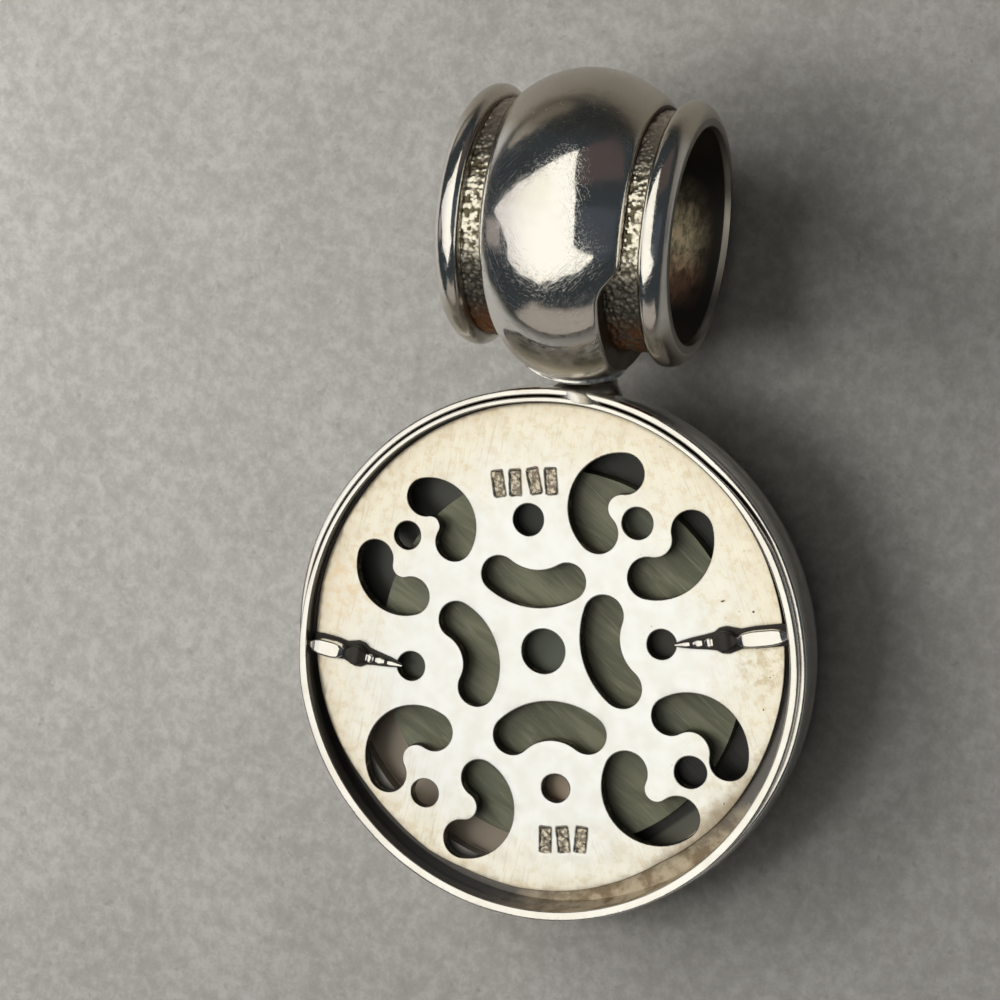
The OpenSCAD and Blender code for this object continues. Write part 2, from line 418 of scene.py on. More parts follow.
stone_top, tree, shader = finish_of("pale_table")
in_metres = node(tree, "TexCoord").outputs["Object"]
flat = node(tree, "Mapping", {"Vector": in_metres, "Scale": (1 / MM,) * 3}).outputs[0]
place = node(tree, "Mapping", {"Vector": flat, "Location": GRAIN_MOVED, "Rotation": GRAIN_TURNED}).outputs[0]
clouds = noise(place, 0.12, 4, 0.6, 0.4)
grain = noise(place, 1.3, 6, 0.78)
speck = ramp(noise(place, 1.4, 3, 0.6), 0.64, 0.72)
from_middle = node(tree, "VectorMath", {0: flat}, operation="LENGTH").outputs["Value"]
tone = blend_colour(ramp(clouds, 0.30, 0.70), TABLE_GREY, TABLE_PALE)
tone = blend_colour(ramp(grain, 0.28, 0.62, 0.60, 0.0), tone, GRAIN_DARK)
tone = blend_colour(ramp(grain, 0.46, 0.74, 0.0, 0.42), tone, GRAIN_PALE)
tone = blend_colour(times(speck, 0.30), tone, SPECK_GREY)
# painted shade: the table darkens away from the pendant, as if the far table were out of the light
tone = blend_colour(ramp(from_middle, FAR_FROM_MM, FAR_TO_MM, 0.0, 0.75), tone, FAR_SHADE_GREY)
feed(shader, "Base Color", tone)
shader.inputs["Roughness"].default_value = 0.6
shader.inputs["Specular IOR Level"].default_value = 0.25
feed(shader, "Normal", bump(grain, 0.00002, 0.4))
table.data.materials.append(stone_top)
bpy.context.scene.view_settings.view_transform = "Standard"
print("table finished")

# %% [markdown]
# ## Polished silver
#
# Old polished silver is not a perfect mirror. It has a faint orange-peel wave, cloudy spots where it is a
# little dull, hair-fine wear scratches that run in many directions, and a brown-black film wherever a cloth
# never reaches. The film is found by how closed-in a spot is, so every groove darkens by itself. A piece with
# stains of its own, or with shade painted under it, hands in a function that paints them.

# %% Choose the silver's colours and scratches
SILVER_LIGHT, SILVER_WARM = (0.93, 0.915, 0.885), (0.86, 0.835, 0.785)
# the last of these is painted shade, for the underside of the bail
FILM, TARNISH, UNDER_SHADE_BROWN = (0.075, 0.058, 0.042), (0.56, 0.505, 0.42), (0.13, 0.095, 0.07)
SCRATCH_WAYS, SCRATCH_FIRST, SCRATCH_APART = 3, 0.4, 1.9
SCRATCH_STRETCH = (0.5, 26.0, 26.0)


def scratch_height(place):
    """Fine scratches: strongly stretched noise in a few directions, summed."""
    height = None
    for way in range(SCRATCH_WAYS):
        turned = stretched(place, SCRATCH_FIRST + SCRATCH_APART * way, SCRATCH_STRETCH)
        line = ramp(noise(turned, 1.0, 2, 0.5), 0.60, 0.72)
        height = line if height is None else plus(height, line)
    return height


print("scratches run", SCRATCH_WAYS, "ways")

# %% [markdown]
# One function mixes every polished silver. It is told how rough the silver is, how far the film reaches out
# of a corner, how deep the scratches and waves are, and, where there is any, how to paint the tarnish and the
# shade painted underneath.

# %% Mix polished silver
def silver(name, roughness, film_reach=0.0005, film=1.0, scratch=0.3, wave=0.6, tarnish=None, tone=None):
    """A silver finish. The film reaches so many metres; tarnish paints a place dull, in painted shade or worn
    bright.
    """
    material, tree, shader = finish_of(name)
    shader.inputs["Metallic"].default_value = 1.0
    place = flat_place(tree)
    open_share = node(tree, "AmbientOcclusion", {"Distance": film_reach}, samples=6).outputs["AO"]
    patches = noise(place, 1.3, 4, 0.6)
    closed = ramp(plus(open_share, times(patches, 0.25)), 0.62, 0.98, film, 0.0)
    cloudy = ramp(noise(place, 2.6, 5, 0.7), 0.48, 0.70)
    rough = plus(roughness, times(cloudy, 0.09))
    if tone is None:
        tone = blend_colour(ramp(noise(place, 0.35, 3, 0.6), 0.4, 0.65), SILVER_LIGHT, SILVER_WARM)
    if tarnish:
        dull, under_shade, worn = tarnish(place)
        closed = times(closed, minus(1.0, worn))
        tone = blend_colour(closed, blend_colour(dull, tone, TARNISH), FILM)
        tone = blend_colour(under_shade, tone, UNDER_SHADE_BROWN)
        rough = plus(rough, times(dull, 0.14))
        feed(shader, "Metallic", minus(1.0, times(under_shade, 0.8)))
    else:
        tone = blend_colour(closed, tone, FILM)
    feed(shader, "Base Color", tone)
    feed(shader, "Roughness", plus(rough, times(closed, 0.3)))
    waves = bump(noise(place, 0.55, 2, 0.5), 0.00006, wave)
    feed(shader, "Normal", bump(scratch_height(place), 0.000004, scratch, waves))
    return material


print("silver ready to mix")

# %% [markdown]
# ## Turning a piece
#
# The bezel and the bail's tube are turned shapes: one closed section, swept round an axis. A section is drawn
# from arcs and corners. The sweep makes a grid of points that closes both ways, so the piece has no open
# edge. A small hand-made wobble can be added to the grid before it becomes a mesh.

# %% Sweep helpers
def arc(centre, radius, start, end, steps):
    """Points along an arc, angles in degrees."""
    t = np.radians(np.linspace(start, end, steps + 1))
    return [(centre[0] + radius * math.cos(a), centre[1] + radius * math.sin(a)) for a in t]


def closed_faces(rows, columns):
    """Quads of a grid that closes both ways."""
    a = np.arange(rows)[:, None] * columns + np.arange(columns)[None, :]
    b = np.roll(a, -1, 0)
    return np.stack([a, b, np.roll(b, -1, 1), np.roll(a, -1, 1)], -1).reshape(-1, 4).tolist()


def outward(piece):
    """Turns all faces of a closed mesh outward."""
    mesh = piece.data
    co = np.empty(len(mesh.vertices) * 3)
    mesh.vertices.foreach_get("co", co)
    mesh.calc_loop_triangles()
    tri = np.empty(len(mesh.loop_triangles) * 3, int)
    mesh.loop_triangles.foreach_get("vertices", tri)
    p = co.reshape(-1, 3)[tri.reshape(-1, 3)]
    volume = np.einsum("ij,ij->i", p[:, 0], np.cross(p[:, 1], p[:, 2])).sum() / 6
    if volume < 0:
        mesh.flip_normals()
    print(piece.name, "faces:", len(mesh.polygons), "volume in mm3:", round(abs(volume) * 1e9, 1))
    return piece


def wobble(angle, waves):
    """A slow hand-made unevenness round a ring, from a table of (count, size, phase)."""
    return sum(size * np.sin(count * angle + phase) for count, size, phase in waves)


def dress(piece, *nodes, slot):
    """The piece rides on the part and stands for its nodes; the slot is not used."""
    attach(piece, "root")
    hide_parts(*nodes)
    return piece


print("sweep helpers ready")

# %% [markdown]
# ## The bezel
#
# The deep wall that holds the stone is turned from thick silver. From the back it shows a rounded lip that
# was burnished a little flat, a dark groove, a second fine bead and then the plain wall, which draws in
# towards the front edge. Inside, a ledge bears the plate. The lip isn't the same all the way round: at the
# top it is narrow with a broad shoulder behind it, and at the foot it is flatter. So three sections are drawn
# with the same number of corners, and the ring blends from one to the next.

# %% Draw the bezel's sections
WALL_IN, BEARER_R = 11.7, 10.5
BEARER_TOP, BEARER_UNDER, GROUND = -1.45, -2.30, -3.20
LIP_STEPS, SHOULDER_STEPS, FRONT_STEPS = 16, 10, 16
WALL = [(12.26, -1.05), (12.31, -1.35), (12.34, -1.62), (12.36, -1.9), (12.36, -2.25),
        (12.32, -2.65), (12.20, -3.0), (12.02, -3.35), (11.84, -3.66)]
UNDERCUT = [(10.9, GROUND), (11.5, GROUND), (11.5, BEARER_UNDER), (BEARER_R, BEARER_UNDER)]


def squared_arc(centre, radius, start, end, steps, power):
    """An arc with a flatter top, as burnishing leaves it; the lower the power, the flatter."""
    t = np.radians(np.linspace(start, end, steps + 1))
    along, up = (np.copysign(np.abs(f(t)) ** power, f(t)) for f in (np.cos, np.sin))
    return [(centre[0] + radius * a, centre[1] + radius * b) for a, b in zip(along, up)]


def bezel_section(lip_at, lip_r, flat_power, groove, shoulder):
    """The closed section as distance from the axis and height, from the ledge round the lip and back."""
    return (
        [(BEARER_R, BEARER_TOP), (WALL_IN, BEARER_TOP)]
        + squared_arc(lip_at, lip_r, 178, -30, LIP_STEPS, flat_power)
        + [groove] + shoulder + WALL
        + arc((FRONT_R, FRONT_Z), FRONT_BEAD - 0.005, 15, -180, FRONT_STEPS)
        + UNDERCUT
    )


def bead(centre, radius):
    return arc(centre, radius, 100, -60, SHOULDER_STEPS)


broad_shoulder = [
    (11.98, -0.36), (12.02, -0.28), (12.09, -0.25), (12.17, -0.25), (12.25, -0.265), (12.31, -0.30),
    (12.35, -0.37), (12.36, -0.47), (12.36, -0.57), (12.355, -0.68), (12.33, -0.84),
]
SECTIONS = {
    "top": bezel_section((11.81, -0.26), 0.115, 0.6, (11.945, -0.42), broad_shoulder),
    "side": bezel_section((11.93, -0.24), 0.21, 0.6, (12.13, -0.47), bead((12.24, -0.62), 0.15)),
    "foot": bezel_section((11.93, -0.23), 0.22, 0.36, (12.08, -0.50), bead((12.10, -0.66), 0.12)),
}
print("corners of each section:", {name: len(outline) for name, outline in SECTIONS.items()})

# %% [markdown]
# ### Blending the sections round the ring
#
# Long edges are cut into short pieces, the same number in all three sections. A small table says how much of
# the top's and of the foot's section each angle gets, and the rest is the side's.

# %% Blend the sections
SECTION_STEP, ROUND = 0.16, 384
STYLE_ROUND = [
    # angle, share of the top's section, share of the foot's section
    (0, 0, 0), (32, 0, 0), (55, 1, 0), (165, 1, 0), (195, 0, 1), (322, 0, 1), (345, 0, 0), (360, 0, 0),
]


def divide(section, counts):
    """A closed section with each edge cut into a set number of pieces."""
    out = []
    for (x0, y0), (x1, y1), pieces in zip(section, section[1:] + section[:1], counts):
        out += [(x0 + (x1 - x0) * i / pieces, y0 + (y1 - y0) * i / pieces) for i in range(pieces)]
    return np.array(out)


side_edges = zip(SECTIONS["side"], SECTIONS["side"][1:] + SECTIONS["side"][:1])
counts = [max(1, math.ceil(math.dist(a, b) / SECTION_STEP)) for a, b in side_edges]
styles = {name: divide(outline, counts) for name, outline in SECTIONS.items()}
section = styles["side"]

turn = np.linspace(0, 2 * math.pi, ROUND, endpoint=False)
style_at, *shares = np.array(STYLE_ROUND, float).T
top_share, foot_share = (np.interp(np.degrees(turn), style_at, share)[:, None, None] for share in shares)
blended = section + top_share * (styles["top"] - section) + foot_share * (styles["foot"] - section)
radial, height = blended[..., 0].copy(), blended[..., 1].copy()
print("points in the bezel's section:", len(section))

# %% [markdown]
# ### A rim bent by hand
#
# Once the plate was in, the rim was pushed over and burnished by hand. It is a little oval, and its middle
# has moved by a fifth of a millimetre. The shift fades out below the rim, so the front edge stays round.
# Small quick waves keep the highlight on the lip from being too even.

# %% Bend the rim
OFF_CENTRE, OFF_TOWARDS = 0.19, math.radians(240)
OVAL, OVAL_TOWARDS = 0.09, math.radians(85)
PUSHED_IN, WALL_PUSHED_IN, RIM_LOWERED = 0.05, 0.03, 0.02
RIM_WAVES = [
    # count round the ring, size, phase
    (5, 0.006, 2.0), (9, 0.005, 1.1), (17, 0.002, 0.3),
]
RIM_DENTS = [(3, 0.006, 1.7), (7, 0.005, 0.2), (13, 0.004, 2.4), (29, 0.002, 0.9)]


def step_up(values, start, over):
    """0 below the start, 1 above the start and the width of the step, and a straight rise between."""
    return np.clip((values - start) / over, 0, 1)


pushed = OFF_CENTRE * np.cos(turn - OFF_TOWARDS) + OVAL * np.cos(2 * (turn - OVAL_TOWARDS)) - PUSHED_IN
pushed = pushed + wobble(turn, RIM_WAVES)
rim_share = step_up(height, -1.25, 0.45) * step_up(radial, 11.3, 0.3)
wall_share = step_up(height, -3.4, 1.2) * step_up(radial, 12.0, 0.2) * (1 - rim_share)
radial = radial + rim_share * pushed[:, None] + wall_share * np.minimum(pushed, -WALL_PUSHED_IN)[:, None]
height = height + rim_share * (wobble(turn, RIM_DENTS) - RIM_LOWERED)[:, None]
radial = np.minimum(radial, BEZEL_R - 0.02)
grid = np.stack([radial * np.cos(turn)[:, None], radial * np.sin(turn)[:, None], height], -1)
bezel = grid_mesh("bezel", lie(grid.reshape(-1, 3)), closed_faces(ROUND, len(section)), sharp=50)
outward(bezel)

# %% [markdown]
# ### The groove behind the rim
#
# Between plate and rim no cloth ever reaches. The inner wall and its ledge are a dull grey-black, painted
# shade over the tarnish there, and a lighter gold-brown on the lower right, painted light where that side is
# lit. They get a finish of their own, on the faces of the section that lie inside the wall. The rim itself is
# polished, and a little softer than a mirror.

# %% Mix the dark groove
GROOVE_BLACK, GROOVE_BROWN, GROOVE_GOLD = (0.20, 0.190, 0.180), (0.36, 0.27, 0.17), (0.74, 0.64, 0.48)
LIT_WAY = (0.50, -0.86, 0.0)


def dark_groove():
    material, tree, shader = finish_of("dark_groove")
    place = flat_place(tree)
    patches = noise(place, 0.9, 4, 0.65)
    # painted light: lighter and gold-brown towards the lower right, where the groove is lit; grey-black
    # elsewhere as painted shade
    painted_shading = ramp(plus(along_way(place, LIT_WAY), times(patches, 1.6)), 9.9, 12.0)
    warm = blend_colour(ramp(patches, 0.36, 0.60), GROOVE_BROWN, GROOVE_GOLD)
    feed(shader, "Base Color", blend_colour(painted_shading, GROOVE_BLACK, warm))
    shader.inputs["Metallic"].default_value = 0.45
    feed(shader, "Roughness", ramp(painted_shading, 0.0, 1.0, 0.26, 0.42))
    feed(shader, "Normal", bump(patches, 0.00003, 0.5))
    return material


rim_silver = silver("rim_silver", roughness=0.13, film_reach=0.00016, film=0.95, scratch=0.25)
for finish in (rim_silver, dark_groove()):
    bezel.data.materials.append(finish)
print("finishes of the bezel:", [finish.name for finish in bezel.data.materials])

# %% [markdown]
# Each face of the ring belongs to one edge of the section. Where that edge lies inside the wall and above the
# underside of the ledge, the face gets the groove's finish.

# %% Dress the bezel
ends = np.stack([section, np.roll(section, -1, 0)])
inside_wall = ends[..., 0].max(0) < WALL_IN + 0.06
in_groove = inside_wall & (ends[..., 1].max(0) <= -0.10) & (ends[..., 1].min(0) > BEARER_UNDER)
bezel.data.polygons.foreach_set("material_index", np.tile(in_groove, ROUND).astype(np.int32))
dress(bezel, "bezel_with_bail", slot="polished_silver")
print("faces in the groove:", int(in_groove.sum()) * ROUND)

# %% [markdown]
# ## The bail's tube
#
# The necklace runs through a short wide tube. Each end has a roll, highest near its inner side and flowing
# out to the mouth. Between roll and ribbon lies a sunk band. The rolls and the bore are smooth, so a coarse
# grid is enough for them, and the rough bands become pieces of their own with a much finer grid.

# %% Turn the bail's tube
BORE_R, BAND_R, ROLL_R, BAIL_LEN = 4.75, 5.35, 5.9, 10.6
CROWN_X, ROLL_IN = 4.42, 3.98
UNDER_BAND, SKIN = 0.12, 0.01
TUBE_ROUND = 420
TUBE_WAVES = [(3, 0.010, 0.5), (7, 0.006, 1.9), (11, 0.004, 0.1)]


def half_tube_section(sign):
    """One half of the tube's outline from its middle to the bore's mouth: along x, radius."""
    floor = BAND_R - UNDER_BAND
    inner_x, inner_r = CROWN_X - ROLL_IN, ROLL_R - BAND_R + UNDER_BAND - SKIN
    inner = [(CROWN_X - inner_x * math.cos(a), floor + inner_r * math.sin(a))
             for a in np.radians(np.linspace(0, 90, 12))]
    outer_x, outer_r = BAIL_LEN / 2 - CROWN_X - 2 * SKIN, ROLL_R - BORE_R - 0.25
    outer = [(CROWN_X + outer_x * math.sin(a), ROLL_R - SKIN - outer_r + outer_r * math.cos(a))
             for a in np.radians(np.linspace(6, 100, 22))]
    mouth = [(5.14, 4.80), (5.0, BORE_R + SKIN)]
    return [(sign * x, r) for x, r in [(0.05, floor)] + inner + outer + mouth]


def round_bail(x, radius, angle):
    """Points round the bail's axis, with the angle counted from the far side over the back."""
    y, z = BAIL_Y + radius * np.cos(angle), BAIL_Z + radius * np.sin(angle)
    return lie(np.stack([x, y, z], -1).reshape(-1, 3))


bore_line = [(x, BORE_R + SKIN) for x in np.linspace(4.9, -4.9, 16)]
tube_section = np.array(half_tube_section(1) + bore_line + half_tube_section(-1)[::-1])
around = np.linspace(0, 2 * math.pi, TUBE_ROUND, endpoint=False)
angle = np.tile(around[:, None], (1, len(tube_section)))
along, radius = (np.tile(column, (TUBE_ROUND, 1)) for column in tube_section.T)
radius = radius + np.where(radius > BAND_R, wobble(angle, TUBE_WAVES) - 0.018, 0)
faces = closed_faces(TUBE_ROUND, len(tube_section))
tube = outward(grid_mesh("bail_tube", round_bail(along, radius, angle), faces, sharp=60))

# %% [markdown]
# ### Bark
#
# The sunk bands were punched all over, like bark, and left dark. Their bumps are small domes at scattered
# points, each about a quarter of a millimetre wide. The height of the bark is kept on the mesh as an
# attribute, so that the finish can leave the pits dark and the tops bright.

# %% Punch the bark
BARK_ROUND, BARK_STEP, BARK_DEEP, DOMES = 1000, 0.042, 0.085, 3600
BAND_FROM, BAND_TO = 1.9, ROLL_IN + 0.1


def bark(along, around):
    """Height of the punched bark, from 0 in the pits to 1 on the domes."""
    seeds_x = draw.uniform(BAND_FROM - 0.1, BAND_TO + 0.1, DOMES)
    seeds_a = draw.uniform(0, 2 * math.pi, DOMES)
    width = draw.uniform(0.07, 0.17, DOMES)
    top = draw.uniform(0.25, 1.0, DOMES)
    height = np.zeros(along.shape)
    for x, a, w, t in zip(seeds_x, seeds_a, width, top):
        columns = np.nonzero(np.abs(along[0] - x) < w)[0]
        middle = int(a / (2 * math.pi) * len(around))
        reach = int(w / BAND_R * len(around) / 6) + 2
        rows = np.arange(middle - reach, middle + reach + 1) % len(around)
        if len(columns) == 0:
            continue
        patch = np.ix_(rows, columns)
        way = (around[rows, 0] - a + math.pi) % (2 * math.pi) - math.pi
        far = np.hypot(along[patch] - x, way[:, None] * BAND_R) / w
        height[patch] = np.maximum(height[patch], t * np.sqrt(np.clip(1 - far ** 2, 0, 1)))
    return height


print("domes in each band:", DOMES)

# %% [markdown]
# The bark covers a band's outer face. Two more points on each row close the band behind, inside the tube's
# wall, so that it is a solid ring with no open edge.

# %% Make a band
def bark_band(name, sign, material):
    columns = np.arange(BAND_FROM, ROLL_IN + 0.16, BARK_STEP)
    around = np.tile(np.linspace(0, 2 * math.pi, BARK_ROUND, endpoint=False)[:, None], (1, len(columns)))
    along = np.tile(columns, (BARK_ROUND, 1))
    height = bark(along, around)
    top = BAND_R - BARK_DEEP + BARK_DEEP * height
    back = np.full((BARK_ROUND, 2), BAND_R - 0.4)
    radius = np.concatenate([top, back], 1)
    x = sign * np.concatenate([along, along[:, -1:], along[:, :1]], 1)
    turned = np.concatenate([around, around[:, :2]], 1)
    faces = closed_faces(BARK_ROUND, radius.shape[1])
    band = outward(grid_mesh(name, round_bail(x, radius, turned), faces, sharp=70))
    pits = band.data.attributes.new("bark", "FLOAT", "POINT")
    kept = np.concatenate([height, np.zeros((BARK_ROUND, 2))], 1)
    pits.data.foreach_set("value", kept.reshape(-1).astype(np.float32))
    band.data.materials.append(material)
    return dress(band, "bezel_with_bail", slot="polished_silver")


print("steps round a band:", BARK_ROUND)

# %% [markdown]
# ### Bark that is dark but for its domes
#
# The band's colour is painted light and shade by where it lies round the tube. Where the domes stand out on
# the crown of the bail they get a painted highlight, and the pits keep their black. The far side is a lighter
# dull brown, as painted light, and the near side and underside are black, as painted shade. The foot of each
# band, beside the bezel, has turned orange-brown.

# %% Mix the bark
BARK_BLACK, BARK_BROWN, DOME_DULL = (0.11, 0.106, 0.094), (0.62, 0.535, 0.45), (0.42, 0.38, 0.31)
PIT_OLIVE, DOME_HIGHLIGHT, FOOT_ORANGE = (0.20, 0.17, 0.11), (0.95, 0.90, 0.77), (0.26, 0.115, 0.05)


def dark_bark():
    material, tree, shader = finish_of("dark_bark")
    place = flat_place(tree)
    y = minus(xyz(place)[1], BAIL_Y)
    height = node(tree, "Attribute", attribute_name="bark").outputs["Fac"]
    patches = noise(place, 1.1, 4, 0.65)
    # painted highlight: the domes turn near white only on the crown of the bail
    painted_shading = ramp(size_of(minus(y, 0.6)), 3.0, 1.4)
    bright = ramp(plus(height, times(patches, 0.5)), 0.45, 0.95)
    # painted light and shade: lighter brown on the far side, black on the near side and underneath
    dark = blend_colour(ramp(y, 2.0, 5.0), BARK_BLACK, BARK_BROWN)
    dark = blend_colour(ramp(height, 0.3, 0.9, 0.0, 0.4), dark, DOME_DULL)
    shine = blend_colour(bright, PIT_OLIVE, DOME_HIGHLIGHT)
    foot = times(ramp(y, -3.4, -4.7), ramp(patches, 0.30, 0.55))
    feed(shader, "Base Color", blend_colour(foot, blend_colour(painted_shading, dark, shine), FOOT_ORANGE))
    shader.inputs["Metallic"].default_value = 1.0
    feed(shader, "Roughness", ramp(times(bright, painted_shading), 0.0, 1.0, 0.48, 0.26))
    feed(shader, "Normal", bump(noise(place, 7.0, 4, 0.7), 0.00002, 0.6))
    return material


bark_finish = dark_bark()
for name, sign in (("bark_band_right", 1), ("bark_band_left", -1)):
    bark_band(name, sign, bark_finish)
print("bark bands dressed")

# %% [markdown]
# ### The bore
#
# Inside, the tube is black with a patch of gold-brown streaks on its floor, where the necklace has rubbed.
# The patch keeps away from the two mouths, and turns redder towards the bezel.

# %% Mix the dark bore
BORE_BLACK, BORE_COPPER, BORE_GOLD = (0.050, 0.045, 0.040), (0.85, 0.47, 0.28), (1.0, 0.86, 0.56)


def dark_bore():
    material, tree, shader = finish_of("dark_bore")
    place = flat_place(tree)
    streak = noise(stretched(place, 0.12, (3.0, 1.3, 1.3)), 1.0, 6, 0.70, 0.3)
    patch = noise(place, 0.33, 2, 0.5)
    x, y, _ = xyz(place)
    across = minus(y, BAIL_Y - 0.8)
    worn = ramp(plus(size_of(across), times(patch, 3.0)), 4.6, 2.0)
    inward = ramp(size_of(x), 4.7, 3.2)
    share = times(times(worn, inward), ramp(streak, 0.34, 0.62, 0.2, 1.0))
    metal = blend_colour(ramp(across, -1.6, 0.2), BORE_COPPER, BORE_GOLD)
    feed(shader, "Base Color", blend_colour(share, BORE_BLACK, metal))
    shader.inputs["Metallic"].default_value = 0.6
    feed(shader, "Roughness", ramp(share, 0.0, 1.0, 0.40, 0.50))
    feed(shader, "Normal", bump(streak, 0.00003, 0.5))
    return material


bore_finish = dark_bore()
print("bore mixed:", bore_finish.name)

# %% [markdown]
# ### Tarnish on the bail
#
# The rolls and the ribbon are polished, but the cloth missed their far side and their foot, which are a dull
# brown. Underneath, towards the bezel, they are a dark, less metallic brown, a painted shade where they face
# the table. One function paints this for both, and is told how far up the foot's film comes. It also keeps
# the raised edge of the ribbon's foot bright, which every wearer's finger rubs. That edge climbs from right
# to left, so its height is worked out from x.

# %% Paint the bail's tarnish
FAR_SIDE, UNDERSIDE, NEAR_SIDE = (3.9, 5.2), (-2.25, -3.0), (-2.6, -4.2)
EDGE_MIDDLE_Z, EDGE_CLIMB = 0.53, 0.48


def bail_tarnish(place, foot_from, foot_to):
    """Shares that are dull, in painted shade and worn bright, at a place on the bail."""
    parts = xyz(place)
    y, z = minus(parts[1], BAIL_Y), minus(parts[2], BAIL_Z)
    patches = times(noise(place, 0.8, 4, 0.6), 1.2)
    top = ramp(plus(y, patches), *FAR_SIDE)
    foot = ramp(minus(y, patches), foot_from, foot_to)
    dull = math_node("MAXIMUM", top, times(foot, 0.85))
    # painted shade: dark brown and less metallic underneath, towards the bezel, where the bail faces the
    # table
    under_shade = times(ramp(minus(z, times(patches, 0.4)), *UNDERSIDE), ramp(y, *NEAR_SIDE))
    edge_z = minus(EDGE_MIDDLE_Z, times(parts[0], EDGE_CLIMB))
    worn = times(ramp(size_of(minus(z, edge_z)), 0.34, 0.24), ramp(y, -5.0, -5.4))
    return times(dull, minus(1.0, worn)), under_shade, worn


def roll_tarnish(place):
    return bail_tarnish(place, -3.9, -5.0)


def ribbon_tarnish(place):
    return bail_tarnish(place, -5.5, -6.3)


print("edge of the foot from", EDGE_MIDDLE_Z, "mm, falling by", EDGE_CLIMB, "to the right")

# %% [markdown]
# ### Dressing the tube
#
# The tube takes three finishes by face: polished silver on the rolls, the bore's black inside, and a darker,
# duller grey on the flat ring of each mouth, a painted shade that keeps the mouths dim.

# %% Dress the tube
MOUTH_X, MOUTH_R = 5.05, 5.2
roll_silver = silver("roll_silver", roughness=0.06, scratch=0.25, tarnish=roll_tarnish)
# painted shade: the mouths' rings are a dark grey, so they stay dim
shaded_mouth_silver = silver("shaded_mouth_silver", roughness=0.34, tone=(0.36, 0.335, 0.30))
for finish in (roll_silver, bore_finish, shaded_mouth_silver):
    tube.data.materials.append(finish)
next_point = np.roll(tube_section, -1, 0)
furthest_x = np.maximum(np.abs(tube_section[:, 0]), np.abs(next_point[:, 0]))
largest_r = np.maximum(tube_section[:, 1], next_point[:, 1])
in_bore = (largest_r < BORE_R + 0.1) & (np.abs(tube_section[:, 0]) < MOUTH_X)
at_mouth = (furthest_x > MOUTH_X) & (largest_r < MOUTH_R) & ~in_bore
finish_index = np.tile(in_bore + 2 * at_mouth, TUBE_ROUND).astype(np.int32)
tube.data.polygons.foreach_set("material_index", finish_index)
dress(tube, "bezel_with_bail", slot="polished_silver")
print("faces in the bore:", int((finish_index == 1).sum()), "at the mouths:", int((finish_index == 2).sum()))

# %% [markdown]
# ## The domed ribbon
#
# A broad polished ribbon is wrapped round the tube and hides its seam. It is domed across, with a small
# rolled edge. Beside the bezel the jeweller trimmed it to a tongue, with a sharp step on its right, so its
# width is a table round the bail, with the corners of the table eased.

# %% Measure the ribbon's width
RIBBON_WIDTH = [
    # angle from the far side over the back, left reach, right reach
    (0, 3.25, 3.20),
    (40, 3.25, 3.22),
    (62, 3.12, 3.28),
    (80, 3.10, 3.30),
    (97, 3.05, 3.30),
    (105, 3.00, 3.28),
    (109, 2.96, 3.10),
    (114, 2.90, 2.64),
    (119, 2.86, 2.47),
    (130, 2.75, 2.42),
    (145, 2.50, 2.40),
    (160, 2.12, 2.30),
    (180, 1.85, 2.25),
]
EASED_STEP, EASED_OVER = 0.5, 9
EDGE_STEPS_FINE = np.arange(174.8, 175.8, 0.05)
EDGE_STEPS_COARSE = np.arange(175.8, 180, 0.25)


def eased_table(at, known, values):
    """Table lookup with its corners eased over a few degrees."""
    fine_at = np.arange(-20, 201, EASED_STEP)
    kernel = np.hanning(EASED_OVER)
    padded = np.pad(np.interp(fine_at, known, values), EASED_OVER // 2, mode="edge")
    return np.interp(at, fine_at, np.convolve(padded, kernel / kernel.sum(), mode="valid"))


ribbon_turn = np.concatenate([np.arange(360), EDGE_STEPS_FINE, EDGE_STEPS_COARSE])
ribbon_turn = np.unique(np.round(ribbon_turn, 2))
from_far = np.where(ribbon_turn > 180, 360 - ribbon_turn, ribbon_turn)
width_angle, *width = np.array(RIBBON_WIDTH).T
left_reach, right_reach = (eased_table(from_far, width_angle, values) for values in width)
print("steps round the ribbon:", len(ribbon_turn))

# %% [markdown]
# ### The dome and the edge of the foot
#
# The dome is one arc, and its trimmed sides stand up as low walls over the bands. The foot of the tongue ends
# in a thin raised edge, a ledge that faces up and so catches the window as a bright line. It runs aslant, and
# a ledge that cuts across the grid would come out jagged, so the grid itself is slanted there.

# %% Wrap the ribbon
RIBBON_HALF, EDGE_R, EDGE_EASE = 3.25, 5.6, 0.13
LEDGE_TURN = [174.9, 175.05, 175.3, 175.45, 175.7, 176.5, 177.5, 178.5, 179.5]
LEDGE_RISE = [0, 0.02, 0.17, 0.20, 0.208, 0.19, 0.15, 0.08, 0]
LEDGE_FADE_LEFT, LEDGE_FADE_RIGHT = 1.3, 0.3
SLANT_TURN, SLANT = [140, 168, 183, 215], [0, 4.2, 4.2, 0]

rise = CROWN_R - EDGE_R
DOME_R = (RIBBON_HALF ** 2 + rise ** 2) / (2 * rise)
quarter = np.linspace(0, math.pi / 2, 24)


